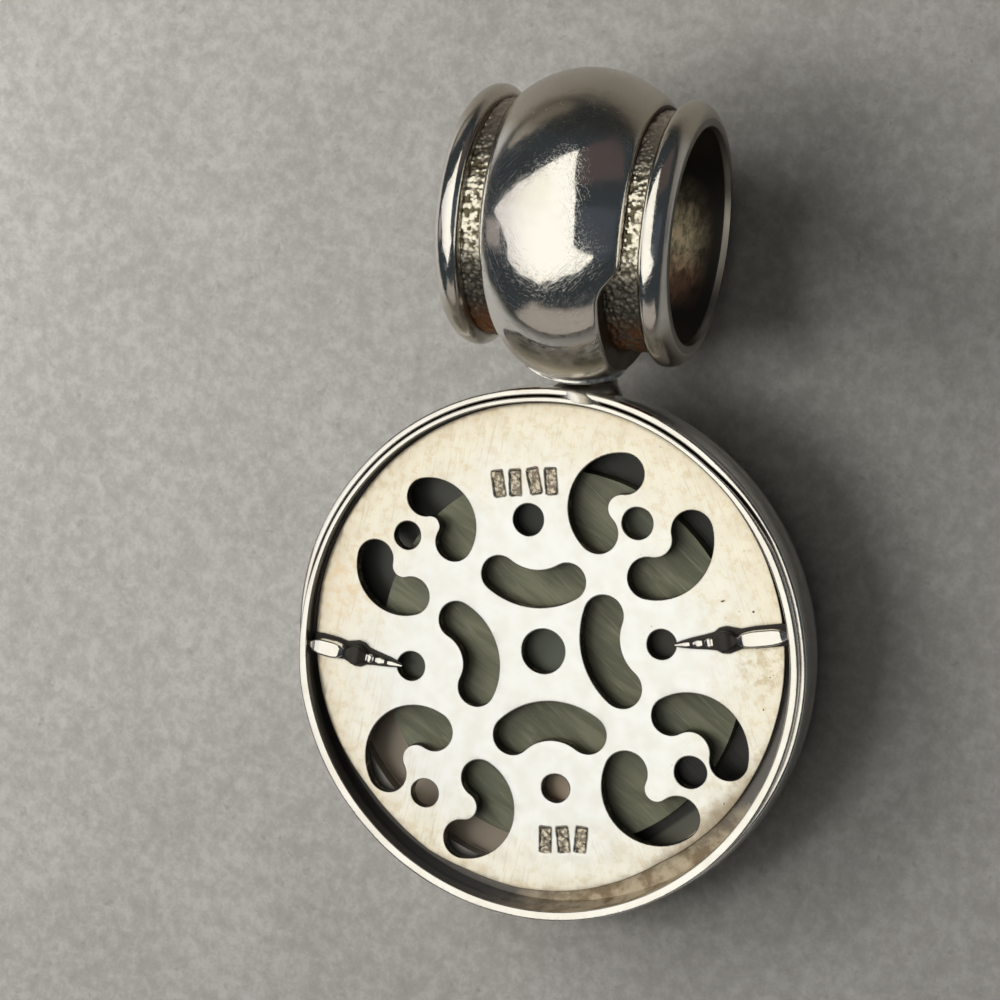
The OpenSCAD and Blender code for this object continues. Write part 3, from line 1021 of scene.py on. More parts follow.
def ribbon_row(turn_deg, left, right):
    """The ribbon's closed outline at one angle, as x and radius."""
    across = np.concatenate([-left * np.cos(quarter), right * np.sin(quarter)[1:]])
    over = CROWN_R - DOME_R + np.sqrt(DOME_R ** 2 - across ** 2) - 0.004
    ease = np.clip(1 - np.minimum(across + left, right - across) / EDGE_EASE, 0, 1)
    over = over - EDGE_EASE * (1 - np.sqrt(np.clip(1 - ease ** 2, 0, 1)))
    inward = np.minimum((across + left) / LEDGE_FADE_LEFT, (right - across) / LEDGE_FADE_RIGHT)
    inward = np.clip(inward, 0, 1)
    over = over + np.interp(turn_deg, LEDGE_TURN, LEDGE_RISE) * inward * (2 - inward)
    under = [(right, BAND_R - 0.12), (0.4, BAND_R - 0.2), (-left, BAND_R - 0.12)]
    return list(zip(across, over)) + under


outline = np.array([ribbon_row(*row) for row in zip(ribbon_turn, left_reach, right_reach)])
x, radius = outline[..., 0], outline[..., 1]
slant = np.interp(ribbon_turn, SLANT_TURN, SLANT)[:, None]
angle = np.radians(ribbon_turn[:, None] + slant * x)
faces = closed_faces(*x.shape)
ribbon = outward(grid_mesh("bail_ribbon", round_bail(x, radius, angle), faces, sharp=50))

# %% [markdown]
# ### Dressing the ribbon
#
# The low walls at the ribbon's sides are painted a dark brown, a painted shade for walls that face away from
# the light. They are told by how they face, straight to the left or right, and get a dark finish of their
# own.

# %% Dress the ribbon
FACES_SIDEWAYS = 0.95
ribbon_silver = silver("ribbon_silver", roughness=0.06, tarnish=ribbon_tarnish)
# painted shade: dark brown for the ribbon's side walls
shaded_step_silver = silver("shaded_step_silver", roughness=0.35, tone=(0.15, 0.12, 0.09))
for finish in (ribbon_silver, shaded_step_silver):
    ribbon.data.materials.append(finish)
for face in ribbon.data.polygons:
    face.material_index = int(abs(face.normal.x) > FACES_SIDEWAYS)
dress(ribbon, "bezel_with_bail", slot="polished_silver")
print("faces of the side walls:", sum(face.material_index for face in ribbon.data.polygons))

# %% [markdown]
# ## The solder joint
#
# A short post joins the bail to the bezel. Solder ran along it and flared out at both ends. A turned shape
# with a waist gives the flare, and slow waves keep it from looking machined. Its ends are closed by fans,
# since nothing shows there.

# %% Close a grid at its ends
def capped_faces(rows, columns):
    """Quads of a grid closed round its rows, with a fan of triangles to a middle point at each end."""
    a = np.arange(rows)[:, None] * columns + np.arange(columns)[None, :]
    b = np.roll(a, -1, 0)
    quads = np.stack([a[:, :-1], b[:, :-1], b[:, 1:], a[:, 1:]], -1).reshape(-1, 4).tolist()
    first, last = rows * columns, rows * columns + 1
    fans = [(first, int(b[i, 0]), int(a[i, 0])) for i in range(rows)]
    return quads + fans + [(last, int(a[i, -1]), int(b[i, -1])) for i in range(rows)]


def capped(name, grid, sharp):
    points = np.concatenate([grid.reshape(-1, 3), [grid[:, 0].mean(0)], [grid[:, -1].mean(0)]])
    return outward(grid_mesh(name, lie(points), capped_faces(*grid.shape[:2]), sharp))


print("a capped 4 by 3 grid has", len(capped_faces(4, 3)), "faces")

# %% [markdown]
# The post runs from the bezel's shoulder to under the ribbon. Both ends are sunk a little into what they
# join.

# %% Solder the post
POST_X, POST_Z, POST_FROM, POST_TO = 0.5, -1.8, 11.7, 14.5
POST_ROUND, POST_LONG = 64, 30
POST_OUTLINE = [
    # y, radius
    (POST_FROM, 1.75), (12.15, 1.62), (12.45, 1.3), (12.75, 1.14), (13.2, 1.08), (13.7, 1.14), (14.1, 1.3),
    (POST_TO, 1.5),
]
lengthwise = np.linspace(POST_FROM, POST_TO, POST_LONG)[None, :]
post_turn = np.linspace(0, 2 * math.pi, POST_ROUND, endpoint=False)[:, None]
swell = 1 + 0.05 * np.sin(3 * post_turn + lengthwise * 2.1) + 0.03 * np.sin(5 * post_turn - lengthwise * 3.7)
post_r = np.interp(lengthwise, *np.array(POST_OUTLINE).T) * swell
grid = np.stack([POST_X + post_r * np.cos(post_turn), np.tile(lengthwise, (POST_ROUND, 1)),
                 POST_Z + post_r * np.sin(post_turn)], -1)
post = capped("solder_post", grid, 50)
post.data.materials.append(silver("solder_silver", roughness=0.22, film_reach=0.0009, scratch=0.12, wave=1.0))
dress(post, "bezel_with_bail", slot="polished_silver")

# %% [markdown]
# ## The pierced back plate
#
# The plate was sawn from sheet, pierced with round holes and bent kidney slots, and lightly filed, so that
# all its edges are a little soft. Each outline is a function of how far it is set in. Rings of the same
# outline, set in more and more as they rise, make the soft edge, and a triangulation fills the flat between
# them. Its extra inner points carry the shallow plain punch marks and the slight waviness of hand-filed
# sheet.
#
# The holes are not quite true rounds. Each kidney follows the arc through three points, with round ends.

# %% List the cut-outs
PLATE_R, PLATE_T, PLATE_AT, PLATE_TOP = 11.25, 0.6, (-0.1, 0.3), -0.8
HOLES = [
    # x, y, radius
    (-0.08, -0.24, 1.03), (-1.4, 5.7, 0.73), (1.15, -6.5, 0.67), (-6.45, -1.95, 0.68), (5.45, 0.95, 0.68),
    (-7.2, 4.15, 0.65), (3.75, 6.25, 0.72), (-5.2, -7.85, 0.67), (7.4, -4.65, 0.74),
]
KIDNEYS = [
    # start x, y, middle x, y, end x, y, width
    (-2.55, 3.0, -0.88, 2.56, 0.75, 3.13, 1.7),
    (-1.2, -4.4, 0.6, -3.4, 2.4, -3.75, 1.8),
    (-4.4, 0.55, -3.1, -0.85, -3.15, -2.45, 1.75),
    (2.6, 1.85, 2.65, 0.2, 3.8, -1.35, 1.85),
    (-6.5, 6.05, -5.1, 5.65, -4.9, 4.15, 1.75),
    (-8.7, 2.85, -8.1, 1.5, -6.75, 1.35, 1.75),
    (2.9, 8.4, 1.4, 7.2, 1.95, 5.55, 1.85),
    (6.3, 6.25, 5.98, 4.5, 4.5, 3.85, 1.9),
    (-5.05, -4.85, -7.0, -5.25, -7.15, -7.2, 1.85),
    (-2.55, -6.7, -1.65, -8.25, -3.15, -9.7, 1.8),
    (4.4, -5.2, 4.82, -6.88, 7.05, -6.85, 2.0),
    (6.2, -2.25, 8.1, -2.1, 9.1, -3.85, 1.75),
]
print("holes:", len(HOLES), "kidneys:", len(KIDNEYS))

# %% [markdown]
# Each outline is made by a function that remembers its cut-out and still asks for the inset. So the same
# cut-out can be drawn at its true size and a little wider, where its edge is soft.

# %% Draw the cut-outs
HOLE_STEPS, HOLE_UNEVEN = 48, 0.012
LONG_STEPS, SHORT_STEPS, END_STEPS = 22, 14, 22


def hole_outline(x, y, radius):
    """A nearly round hole; a positive inset widens it."""
    t = np.linspace(0, 2 * math.pi, HOLE_STEPS, endpoint=False)
    waves = wobble(t, [(2, 0.5, x), (3, 0.3, y), (5, 0.2, x + y)]) * HOLE_UNEVEN

    def outline(inset):
        r = radius + inset + waves
        return np.stack([x + r * np.cos(t), y + r * np.sin(t)], -1)
    return outline


def kidney_outline(row):
    """A slot along the arc through three points, with round ends; a positive inset widens it."""
    p, m, q = (np.array(row[i:i + 2]) for i in (0, 2, 4))
    u, v = m - p, q - p
    d = 2 * (u[0] * v[1] - u[1] * v[0])
    c = p + np.array([v[1] * (u @ u) - u[1] * (v @ v), u[0] * (v @ v) - v[0] * (u @ u)]) / d
    bend = math.hypot(*(p - c))
    start = math.atan2(p[1] - c[1], p[0] - c[0])

    def way_to(a, b):
        return math.atan2(a[0] * b[1] - a[1] * b[0], a @ b)
    sweep = way_to(p - c, m - c) + way_to(m - c, q - c)
    sign = math.copysign(math.pi, sweep)

    def along_arc(centre, r, first, turn, steps, skip):
        t = first + turn * np.arange(skip, steps + 1 - skip) / steps
        return np.stack([centre[0] + r * np.cos(t), centre[1] + r * np.sin(t)], -1)

    def outline(inset):
        half = row[6] / 2 + inset
        return np.concatenate([
            along_arc(c, bend + half, start, sweep, LONG_STEPS, 0),
            along_arc(q, half, start + sweep, sign, END_STEPS, 1),
            along_arc(c, bend - half, start + sweep, -sweep, SHORT_STEPS, 0),
            along_arc(p, half, start + math.pi, sign, END_STEPS, 1),
        ])
    return outline


cut_outs = [hole_outline(*row) for row in HOLES] + [kidney_outline(row) for row in KIDNEYS]
print("cut-outs:", len(cut_outs))

# %% [markdown]
# ### The filed edge
#
# The plate was filed by hand to drop into the bent rim, so its edge is out of round, most of all at the lower
# left. A table gives how much further out than a true round it lies, and two fast fine waves are the file's.

# %% Draw the filed edge
PLATE_REACH = [
    # angle, how much further out the filed edge lies than a true round
    (0, -0.04), (20, -0.02), (60, 0.0), (100, 0.0), (125, 0.0), (150, 0.03), (165, 0.10), (180, 0.16),
    (195, 0.24), (212, 0.27), (224, 0.18), (234, 0.20), (246, 0.33), (256, 0.24), (270, 0.28), (285, 0.19),
    (295, 0.04), (305, -0.10), (320, -0.03), (340, -0.06), (360, -0.04),
]
RIM_STEPS, RIM_ROOM = 420, 0.02
FILE_WAVES = [(11, 0.006, 0.4), (23, 0.004, 2.0)]


def rim_outline(inset):
    """The plate's edge; a negative inset draws it in."""
    t = np.linspace(0, 2 * math.pi, RIM_STEPS, endpoint=False)
    reach = np.interp(np.degrees(t), *np.array(PLATE_REACH).T)
    r = PLATE_R - RIM_ROOM + inset + reach + wobble(t, FILE_WAVES)
    return np.stack([r * np.cos(t), r * np.sin(t)], -1)


print("points of the plate's edge:", len(rim_outline(0)))

# %% [markdown]
# ### Filling the plate
#
# Points are laid in a close grid over the plate, those in the cut-outs are dropped, and the rest are joined
# to the outlines by a constrained triangulation. Where the punch marks are, the grid is finer.

# %% Lay points over the plate
SOFT_EDGE, EDGE_STEPS, CLEAR_OF_EDGE = 0.06, 3, 0.08
WIDE_STEP, FINE_STEP, WIDE_FIELD = 0.3, 0.06, (-11.6, 11.6, -11.6, 11.6)
PUNCHED_FIELDS = [
    # from x, to x, from y, to y
    (-3.7, 0.1, 6.2, 8.5), (0.3, 3.2, -9.8, -7.9),
]


def inside(points, loop):
    """Which points are inside a closed outline."""
    x, y = points.T
    odd = np.zeros(len(points), bool)
    for (x0, y0), (x1, y1) in zip(loop, np.roll(loop, -1, 0)):
        if y0 != y1:
            odd ^= ((y0 > y) != (y1 > y)) & (x < x0 + (y - y0) * (x1 - x0) / (y1 - y0))
    return odd


def spread(step, x0, x1, y0, y1):
    """Points over a field, with every other row moved by half a step."""
    xs, ys = np.meshgrid(np.arange(x0, x1, step), np.arange(y0, y1, step))
    xs = xs + (np.arange(xs.shape[0]) % 2)[:, None] * step / 2
    return np.stack([xs.reshape(-1), ys.reshape(-1)], -1)


wide = spread(WIDE_STEP, *WIDE_FIELD)
for x0, x1, y0, y1 in PUNCHED_FIELDS:
    x, y = wide.T
    wide = wide[~((x > x0) & (x < x1) & (y > y0) & (y < y1))]
inner = np.concatenate([wide] + [spread(FINE_STEP, *field) for field in PUNCHED_FIELDS])
keep = inside(inner, rim_outline(-SOFT_EDGE - CLEAR_OF_EDGE))
for cut in cut_outs:
    keep &= ~inside(inner, cut(SOFT_EDGE + CLEAR_OF_EDGE))
inner = inner[keep]
print("inner points:", len(inner))

# %% [markdown]
# The triangulation also fills the cut-outs, so the triangles whose middle lies in one are thrown away.

# %% Join the points
edge_loops = [rim_outline(-SOFT_EDGE)] + [cut(SOFT_EDGE) for cut in cut_outs]
edges, start = [], 0
for loop in edge_loops:
    n = len(loop)
    edges += [(start + i, start + (i + 1) % n) for i in range(n)]
    start += n
flat_points = [Vector(p) for p in np.concatenate(edge_loops + [inner])]
coords, _, tri, *_ = geometry.delaunay_2d_cdt(flat_points, edges, [], 0, 1e-6)
coords = np.array([tuple(c) for c in coords])
tri = np.array(tri)
middle = coords[tri].mean(1)
good = inside(middle, edge_loops[0])
for loop in edge_loops[1:]:
    good &= ~inside(middle, loop)
tri = tri[good]
print("triangles on each side of the plate:", len(tri))

# %% [markdown]
# ### Punch marks
#
# Two groups of marks were punched into the plate. They are plain shallow rectangles here. Their floors are
# rough, and the sheet round them is a little wavy, as filed sheet is.

# %% Sink the punch marks
PUNCHES = [
    # x, y, turn in degrees
    (-3.0, 7.15, 15), (-2.2, 7.3, 8), (-1.3, 7.5, 18), (-0.5, 7.6, 10),
    (0.9, -9.0, 5), (1.75, -8.85, 12), (2.6, -8.7, 0),
]
PUNCH_SIZE, PUNCH_DEPTH, PUNCH_WALL = (0.55, 1.2), 0.12, 0.1
SHEET_WAVE = 0.012


def punch_share(points):
    """How deep a point lies in a punch mark, from 0 outside to 1 on its floor."""
    x, y = points.T
    share = np.zeros(len(points))
    for px, py, turn_deg in PUNCHES:
        t = math.radians(turn_deg)
        u = (x - px) * math.cos(t) + (y - py) * math.sin(t)
        v = -(x - px) * math.sin(t) + (y - py) * math.cos(t)
        within = [size / 2 - np.abs(off) for size, off in zip(PUNCH_SIZE, (u, v))]
        ex, ey = (np.clip(w / PUNCH_WALL + 0.5, 0, 1) for w in within)
        share = share + ex * ex * (3 - 2 * ex) * ey * ey * (3 - 2 * ey)
    return share


def surface_dip(points):
    """How far the filed and punched surface lies below the flat."""
    x, y = points.T
    waves = SHEET_WAVE * np.sin(0.9 * x + 0.4) * np.sin(0.7 * y + 1.0) + SHEET_WAVE
    floor = 0.75 + 0.25 * np.sin(9 * x + 2 * np.sin(5 * y)) * np.sin(8 * y + 1.0)
    return waves + PUNCH_DEPTH * floor * punch_share(points)


print("deepest point of the plate's back in mm:", round(float(surface_dip(coords).max()), 3))

# %% [markdown]
# ### Top, underside and soft edges
#
# The triangles are used twice, for the top and, turned over, for the underside. Between them each outline
# gets a wall of rings that bulges by the radius of the soft edge.

# %% Build the plate
DIP_FADES_OVER = 0.3
half_angles = np.radians(np.linspace(90, 0, EDGE_STEPS + 1))
profile = [(SOFT_EDGE * (1 - math.cos(a)), -SOFT_EDGE * (1 - math.sin(a))) for a in half_angles]
profile += [(o, -PLATE_T - z) for o, z in profile[::-1]]
top_count = len(coords)
points = [np.column_stack([coords, PLATE_TOP - surface_dip(coords)]),
          np.column_stack([coords, np.full(top_count, PLATE_TOP - PLATE_T)])]
faces = tri.tolist() + (tri[:, ::-1] + top_count).tolist()
offset_count, start = 2 * top_count, 0
outlines = [lambda inset: rim_outline(-inset)] + cut_outs
for outline_at, loop in zip(outlines, edge_loops):
    n = len(loop)
    rings = [np.arange(start, start + n)]
    for o, z in profile[1:-1]:
        level = PLATE_TOP + z - surface_dip(loop) * max(0.0, 1 + z / DIP_FADES_OVER)
        points.append(np.column_stack([outline_at(o), level]))
        rings.append(np.arange(offset_count, offset_count + n))
        offset_count += n
    rings.append(np.arange(start + top_count, start + top_count + n))
    for upper, lower in zip(rings[:-1], rings[1:]):
        faces += np.stack([upper, lower, np.roll(lower, -1), np.roll(upper, -1)], -1).tolist()
    start += n
all_points = np.concatenate(points) + np.array([*PLATE_AT, 0])
plate = grid_mesh("pierced_plate", lie(all_points), faces, sharp=55)
print("plate faces:", len(plate.data.polygons))

# %% [markdown]
# The edge and most cut-outs run round the same way, but the silver lies on different sides of them, so some
# walls face inward at first. All are turned to agree, and open edges are counted: a closed plate has none.

# %% Turn the plate's faces outward
bm = bmesh.new()
bm.from_mesh(plate.data)
bmesh.ops.recalc_face_normals(bm, faces=bm.faces)
open_edges = sum(1 for e in bm.edges if len(e.link_faces) != 2)
bm.to_mesh(plate.data)
bm.free()
outward(plate)
print("open edges of the plate:", open_edges)

# %% [markdown]
# The punch marks are kept on the mesh as an attribute, for the finish to darken. The walls that the saw left
# are told by how steep they are, and get a dark finish of their own.

# %% Mark the punched and the sawn faces
SAWN_STEEPER = 0.35
marks = plate.data.attributes.new("punched", "FLOAT", "POINT")
shares = np.concatenate([punch_share(coords), np.zeros(len(all_points) - top_count)])
marks.data.foreach_set("value", shares.astype(np.float32))
normals = np.empty(len(plate.data.polygons) * 3)
plate.data.polygons.foreach_get("normal", normals)
upright = normals.reshape(-1, 3) @ np.array([0, -math.sin(TILT), math.cos(TILT)])
sawn = np.abs(upright) < SAWN_STEEPER
plate.data.polygons.foreach_set("material_index", sawn.astype(np.int32))
print("sawn faces:", int(sawn.sum()))

# %% [markdown]
# ### Satin silver, warm with age
#
# The plate is satin, not mirror-bright, so it spreads the window's light evenly. It has brush marks near its
# top and right edge, a yellow to orange tarnish that creeps in from the rim, and tiny dark specks. Old grime
# has gathered in two spots: olive grit under the right pin, and an orange film at the left edge.

# %% Choose the plate's colours
SATIN_COOL, SATIN_WARM, AGED = (0.945, 0.968, 0.985), (0.935, 0.945, 0.93), (0.91, 0.865, 0.75)
FLECK_GOLD, EDGE_BROWN, EDGE_SHADE_BROWN = (0.82, 0.71, 0.52), (0.66, 0.52, 0.34), (0.36, 0.29, 0.205)
SPECK_BROWN, BRUSHED_BROWN, CORNER_SHADE_BLACK = (0.14, 0.11, 0.08), (0.66, 0.585, 0.46), (0.075, 0.055, 0.038)
MARK_DARK, MARK_GILT = (0.17, 0.135, 0.095), (0.70, 0.62, 0.48)
PLATE_SPOTS = [
    {"at": (10.2, 1.1), "reach": 1.9, "colour": (0.64, 0.55, 0.38)},
    {"at": (-10.3, 1.6), "reach": 2.2, "colour": (0.90, 0.74, 0.53)},
]
print("spots on the plate:", len(PLATE_SPOTS))

# %% [markdown]
# The colour is built up in layers, the ageing first: the creep of tarnish with its flecks, then the brown
# that the rim left and a darker brown at the lower right edge, a painted shade where that edge rolls down,
# then grime in spots, and last the near black wherever the plate is closed in, a painted shade round the pins
# and at the rim, and the marks.

# %% Age the plate's colour
def aged_tone(tree, place, far, blotches, lines):
    x, y, _ = xyz(place)
    patches = noise(place, 0.35, 4, 0.6, 0.5)
    upper = ramp(y, -7.0, 6.0, 0.0, 1.6)
    creep = ramp(plus(plus(far, upper), times(patches, 5.0)), 9.8, 15.0)
    tone = blend_colour(ramp(blotches, 0.38, 0.62), SATIN_COOL, SATIN_WARM)
    tone = blend_colour(creep, tone, AGED)
    fleck_noise = noise(place, 2.2, 4, 0.7)
    fleck = times(ramp(fleck_noise, 0.50, 0.62), times(creep, 0.6))
    tone = blend_colour(fleck, tone, FLECK_GOLD)
    edge = ramp(plus(far, times(blotches, 1.6)), 11.1, 12.4)
    tone = blend_colour(times(edge, 0.35), tone, EDGE_BROWN)
    lower_right = along_way(place, (0.80, -0.60, 0.0))
    # painted shade: a darker brown at the lower right edge, where the edge rolls down
    painted_shading = ramp(plus(lower_right, times(blotches, 1.0)), 10.25, 11.3)
    tone = blend_colour(times(painted_shading, 0.85), tone, EDGE_SHADE_BROWN)
    speck = ramp(noise(place, 2.6, 2, 0.5), 0.72, 0.76)
    tone = blend_colour(times(speck, ramp(x, 2.0, 8.0)), tone, SPECK_BROWN)
    worn = times(ramp(lines, 0.54, 0.68), ramp(far, 6.5, 10.5, 0.0, 0.45))
    tone = blend_colour(worn, tone, BRUSHED_BROWN)
    for spot in PLATE_SPOTS:
        near = ramp(far_from(place, spot["at"]), spot["reach"], spot["reach"] * 0.3)
        tone = blend_colour(times(near, ramp(fleck_noise, 0.38, 0.64, 0.0, 0.7)), tone, spot["colour"])
    # painted shade: near black wherever the plate is closed in, as round the pins and at the rim
    shut = node(tree, "AmbientOcclusion", {"Distance": 0.0004}, samples=6).outputs["AO"]
    tone = blend_colour(ramp(shut, 0.45, 0.85, 0.92, 0.0), tone, CORNER_SHADE_BLACK)
    punched = node(tree, "Attribute", attribute_name="punched").outputs["Fac"]
    gilt = ramp(noise(place, 4.5, 3, 0.6), 0.45, 0.60)
    in_mark = blend_colour(gilt, MARK_DARK, MARK_GILT)
    return blend_colour(ramp(punched, 0.15, 0.75, 0.0, 0.9), tone, in_mark)


print("layers ready")

# %% [markdown]
# The brush marks are grain that runs one way on the left and another on the right. They tint the silver a
# little and are also pressed into it as a very low bump.

# %% Mix the satin silver
def satin_silver():
    material, tree, shader = finish_of("satin_silver")
    place = flat_place(tree)
    far = far_from(place)
    blotches = noise(place, 1.1, 5, 0.65)
    brushed = noise(stretched(place, -1.45, (0.6, 9.0, 9.0)), 1.0, 4, 0.6)
    crossed = noise(stretched(place, 1.1, (0.7, 10.0, 10.0)), 1.0, 4, 0.6)
    to_right = ramp(xyz(place)[0], -2.0, 6.0)
    lines = plus(brushed, times(to_right, minus(crossed, brushed)))
    feed(shader, "Base Color", aged_tone(tree, place, far, blotches, lines))
    shader.inputs["Metallic"].default_value = 1.0
    feed(shader, "Roughness", ramp(blotches, 0.3, 0.7, 0.29, 0.37))
    height = times(lines, ramp(far, 6.0, 10.5, 0.05, 1.0))
    waves = bump(noise(place, 0.5, 2, 0.5), 0.00008, 0.5)
    feed(shader, "Normal", bump(height, 0.000012, 0.5, waves))
    return material


def sawn_edge():
    """The walls of the cut-outs, black but for a little worn silver."""
    material, tree, shader = finish_of("sawn_edge")
    place = flat_place(tree)
    worn = ramp(noise(place, 1.6, 4, 0.6), 0.50, 0.68)
    feed(shader, "Base Color", blend_colour(worn, (0.055, 0.048, 0.040), (0.40, 0.33, 0.23)))
    shader.inputs["Metallic"].default_value = 0.9
    shader.inputs["Roughness"].default_value = 0.38
    return material


for finish in (satin_silver(), sawn_edge()):
    plate.data.materials.append(finish)
dress(plate, "back_plate", slot="satin_silver")
print("finishes of the plate:", [finish.name for finish in plate.data.materials])

# %% [markdown]
# ## The retaining pins
#
# Two short pins come through the bezel's wall and hold the plate down. Each starts as a thick bar, hammered
# flat on top, swells to a bead between two necks, then thins to a point over one of the small holes. A flat
# top mirrors the window as one bright patch with dark sides, so the cross-section is squarish, not round.
#
# The necks are painted black, as painted shade, and a thin black bed round each pin on the plate is a
# painted shadow.

# %% List the pins' sizes
PIN_OUTLINE = [
    # share of the length, half width, height of its top above the plate
    (0.00, 0.10, 0.52),
    (0.04, 0.16, 0.62),
    (0.09, 0.31, 0.76),
    (0.15, 0.38, 0.80),
    (0.28, 0.39, 0.80),
    (0.35, 0.33, 0.77),
    (0.39, 0.17, 0.62),
    (0.41, 0.12, 0.54),
    (0.44, 0.30, 0.50),
    (0.49, 0.46, 0.60),
    (0.55, 0.46, 0.60),
    (0.60, 0.26, 0.46),
    (0.63, 0.16, 0.38),
    (0.67, 0.22, 0.46),
    (0.71, 0.10, 0.32),
    (0.77, 0.16, 0.36),
    (0.83, 0.08, 0.26),
    (0.89, 0.10, 0.24),
    (1.00, 0.03, 0.12),
]
NECK_AT = 0.41
PINS = {
    # the neck's place on the real pin, as a share of its length
    "retaining_pin_left": {"from": (-11.60, -1.22), "to": (-6.95, -1.68), "neck": 0.41},
    "retaining_pin_right": {"from": (11.45, 2.72), "to": (6.0, 1.35), "neck": 0.48},
}
print("points in a pin's outline:", len(PIN_OUTLINE))

# %% [markdown]
# The outline is given at shares of the length, and drawn along the line from a pin's root to its tip. The
# cross-section is a circle pushed out towards a square, and the power in its formula says how far.

# %% Shape the pins
SQUARENESS, PIN_LONG, PIN_ROUND, PIN_OVER_PLATE = 7.0, 90, 40, 0.02


def pin_line(row, share):
    """Points along a pin's middle, and the way across it."""
    root, tip = np.array(row["from"]), np.array(row["to"])
    along = (tip - root) / math.hypot(*(tip - root))
    placed = np.interp(share, [0, NECK_AT, 1], [0, row["neck"], 1])
    return root + placed[:, None] * (tip - root), np.array([-along[1], along[0]])


def pin_grid(row):
    share, *sizes = np.array(PIN_OUTLINE).T
    fine = np.linspace(0, 1, PIN_LONG)
    kernel = np.hanning(5)[1:-1]
    padded = [np.pad(np.interp(fine, share, size), 1, mode="edge") for size in sizes]
    half, top = (np.convolve(size, kernel / kernel.sum(), "valid") for size in padded)
    t = np.linspace(0, 2 * math.pi, PIN_ROUND, endpoint=False)
    cos, sin = (np.sign(f(t)) * np.abs(f(t)) ** (2 / SQUARENESS) for f in (np.cos, np.sin))
    line, across = pin_line(row, fine)
    middle = PLATE_TOP + PIN_OVER_PLATE + top / 2
    xy = line[None] + across * (cos[:, None] * half[None])[..., None]
    z = middle[None] + sin[:, None] * top[None] / 2
    return np.concatenate([xy, z[..., None]], -1)


print("points along a pin:", PIN_LONG)

# %% [markdown]
# The pins are polished about as much as the rim. The first neck, the bead and two short stretches of the thin
# end are painted dark, as painted shade.

# %% Dress the pins
SHADED_STRETCHES = [(0.385, 0.62), (0.70, 0.73), (0.82, 0.85)]
pin_silver = silver("pin_silver", roughness=0.11, film_reach=0.00012, film=0.85, scratch=0.2, wave=0.2)
# painted shade: near black, for the pins' shaded stretches and the painted shadow round each pin
pin_shade, tree, shader = finish_of("pin_shade")
feed(shader, "Base Color", (0.030, 0.026, 0.022))
shader.inputs["Roughness"].default_value = 0.55


def flattened_pin(name, row):
    piece = capped(name.replace("retaining_pin", "flattened_pin"), pin_grid(row), 60)
    for finish in (pin_silver, pin_shade):
        piece.data.materials.append(finish)
    share = np.linspace(0, 1, PIN_LONG)[:-1]
    in_dark = sum((share > low) & (share < high) for low, high in SHADED_STRETCHES) > 0
    dark = np.concatenate([np.tile(in_dark, PIN_ROUND), np.zeros(2 * PIN_ROUND, bool)])
    piece.data.polygons.foreach_set("material_index", dark.astype(np.int32))
    return dress(piece, name, slot="pin_silver")


print("dark stretches of a pin:", SHADED_STRETCHES)

# %% [markdown]
# The bed is a flat black leaf, a little wider than the pin, a painted shadow round it. It lies just above the
# plate, so that the two never share a surface.

# %% Make the pins and their beds
BED_OUTLINE = [
    # share of the length, half width
    (0.03, 0.45), (0.10, 0.50), (0.28, 0.50), (0.38, 0.44), (0.44, 0.53), (0.50, 0.62), (0.57, 0.58),
    (0.62, 0.41), (0.70, 0.34), (0.85, 0.24), (0.97, 0.12), (1.0, 0.05),
]
BED_FROM, BED_TO = 0.012, 0.055


def shade_bed(name, row):
    share, half = np.array(BED_OUTLINE).T
    line, across = pin_line(row, share)
    loop = np.concatenate([line + across * half[:, None], (line - across * half[:, None])[::-1]])
    n = len(loop)
    levels = [np.full(n, PLATE_TOP + z) for z in (BED_TO, BED_FROM)]
    points = np.concatenate([np.column_stack([loop, level]) for level in levels])
    top, underside = tuple(range(n)), tuple(range(2 * n - 1, n - 1, -1))
    sides = [(i, i + n, (i + 1) % n + n, (i + 1) % n) for i in range(n)]
    bed = grid_mesh(name.replace("retaining_pin", "pin_shade"), lie(points), [top, underside] + sides, 30)
    outward(bed)
    bed.data.materials.append(pin_shade)
    return dress(bed, name, slot="pin_silver")


for name, row in PINS.items():
    flattened_pin(name, row)
    shade_bed(name, row)
print("pins:", list(PINS), "beds from", BED_FROM, "to", BED_TO, "mm above the plate")

# %% [markdown]
# ## The stone
#
# Only the back of the stone shows here, through the cut-outs: an olive-grey disc with a raised round step,
# which sits a little off centre. Its front is finished too, with a plain rosette in low relief, since the
# pendant may be seen from any side. Each petal is a piece of a round spindle that is half sunk in the ground.

# %% Carve the stone's two faces
STONE_R, STEP_R, SHOULDER_Z, STEP_Z, GROUND_Z = 11.4, 8.8, -2.35, -1.6, -3.15
STEP_SOFT, RIM_SOFT = 0.06, 0.1
RELIEF, PETALS, VEIN_DEEP, VEIN_HALF = 0.85, 8, 0.06, 0.12
ROSETTE = [
    # inner end, length, half width, share of the relief's height
    (0.4, 5.8, 1.3, 1.0),
    (4.6, 6.2, 1.2, 0.8),
]


def back_height(r):
    """Height of the stone's back at a distance from its middle."""
    step = step_up(r, STEP_R - STEP_SOFT, STEP_SOFT)
    shoulder = step_up(r, STONE_R - RIM_SOFT, RIM_SOFT)
    return STEP_Z - (STEP_Z - SHOULDER_Z) * step - RIM_SOFT * shoulder


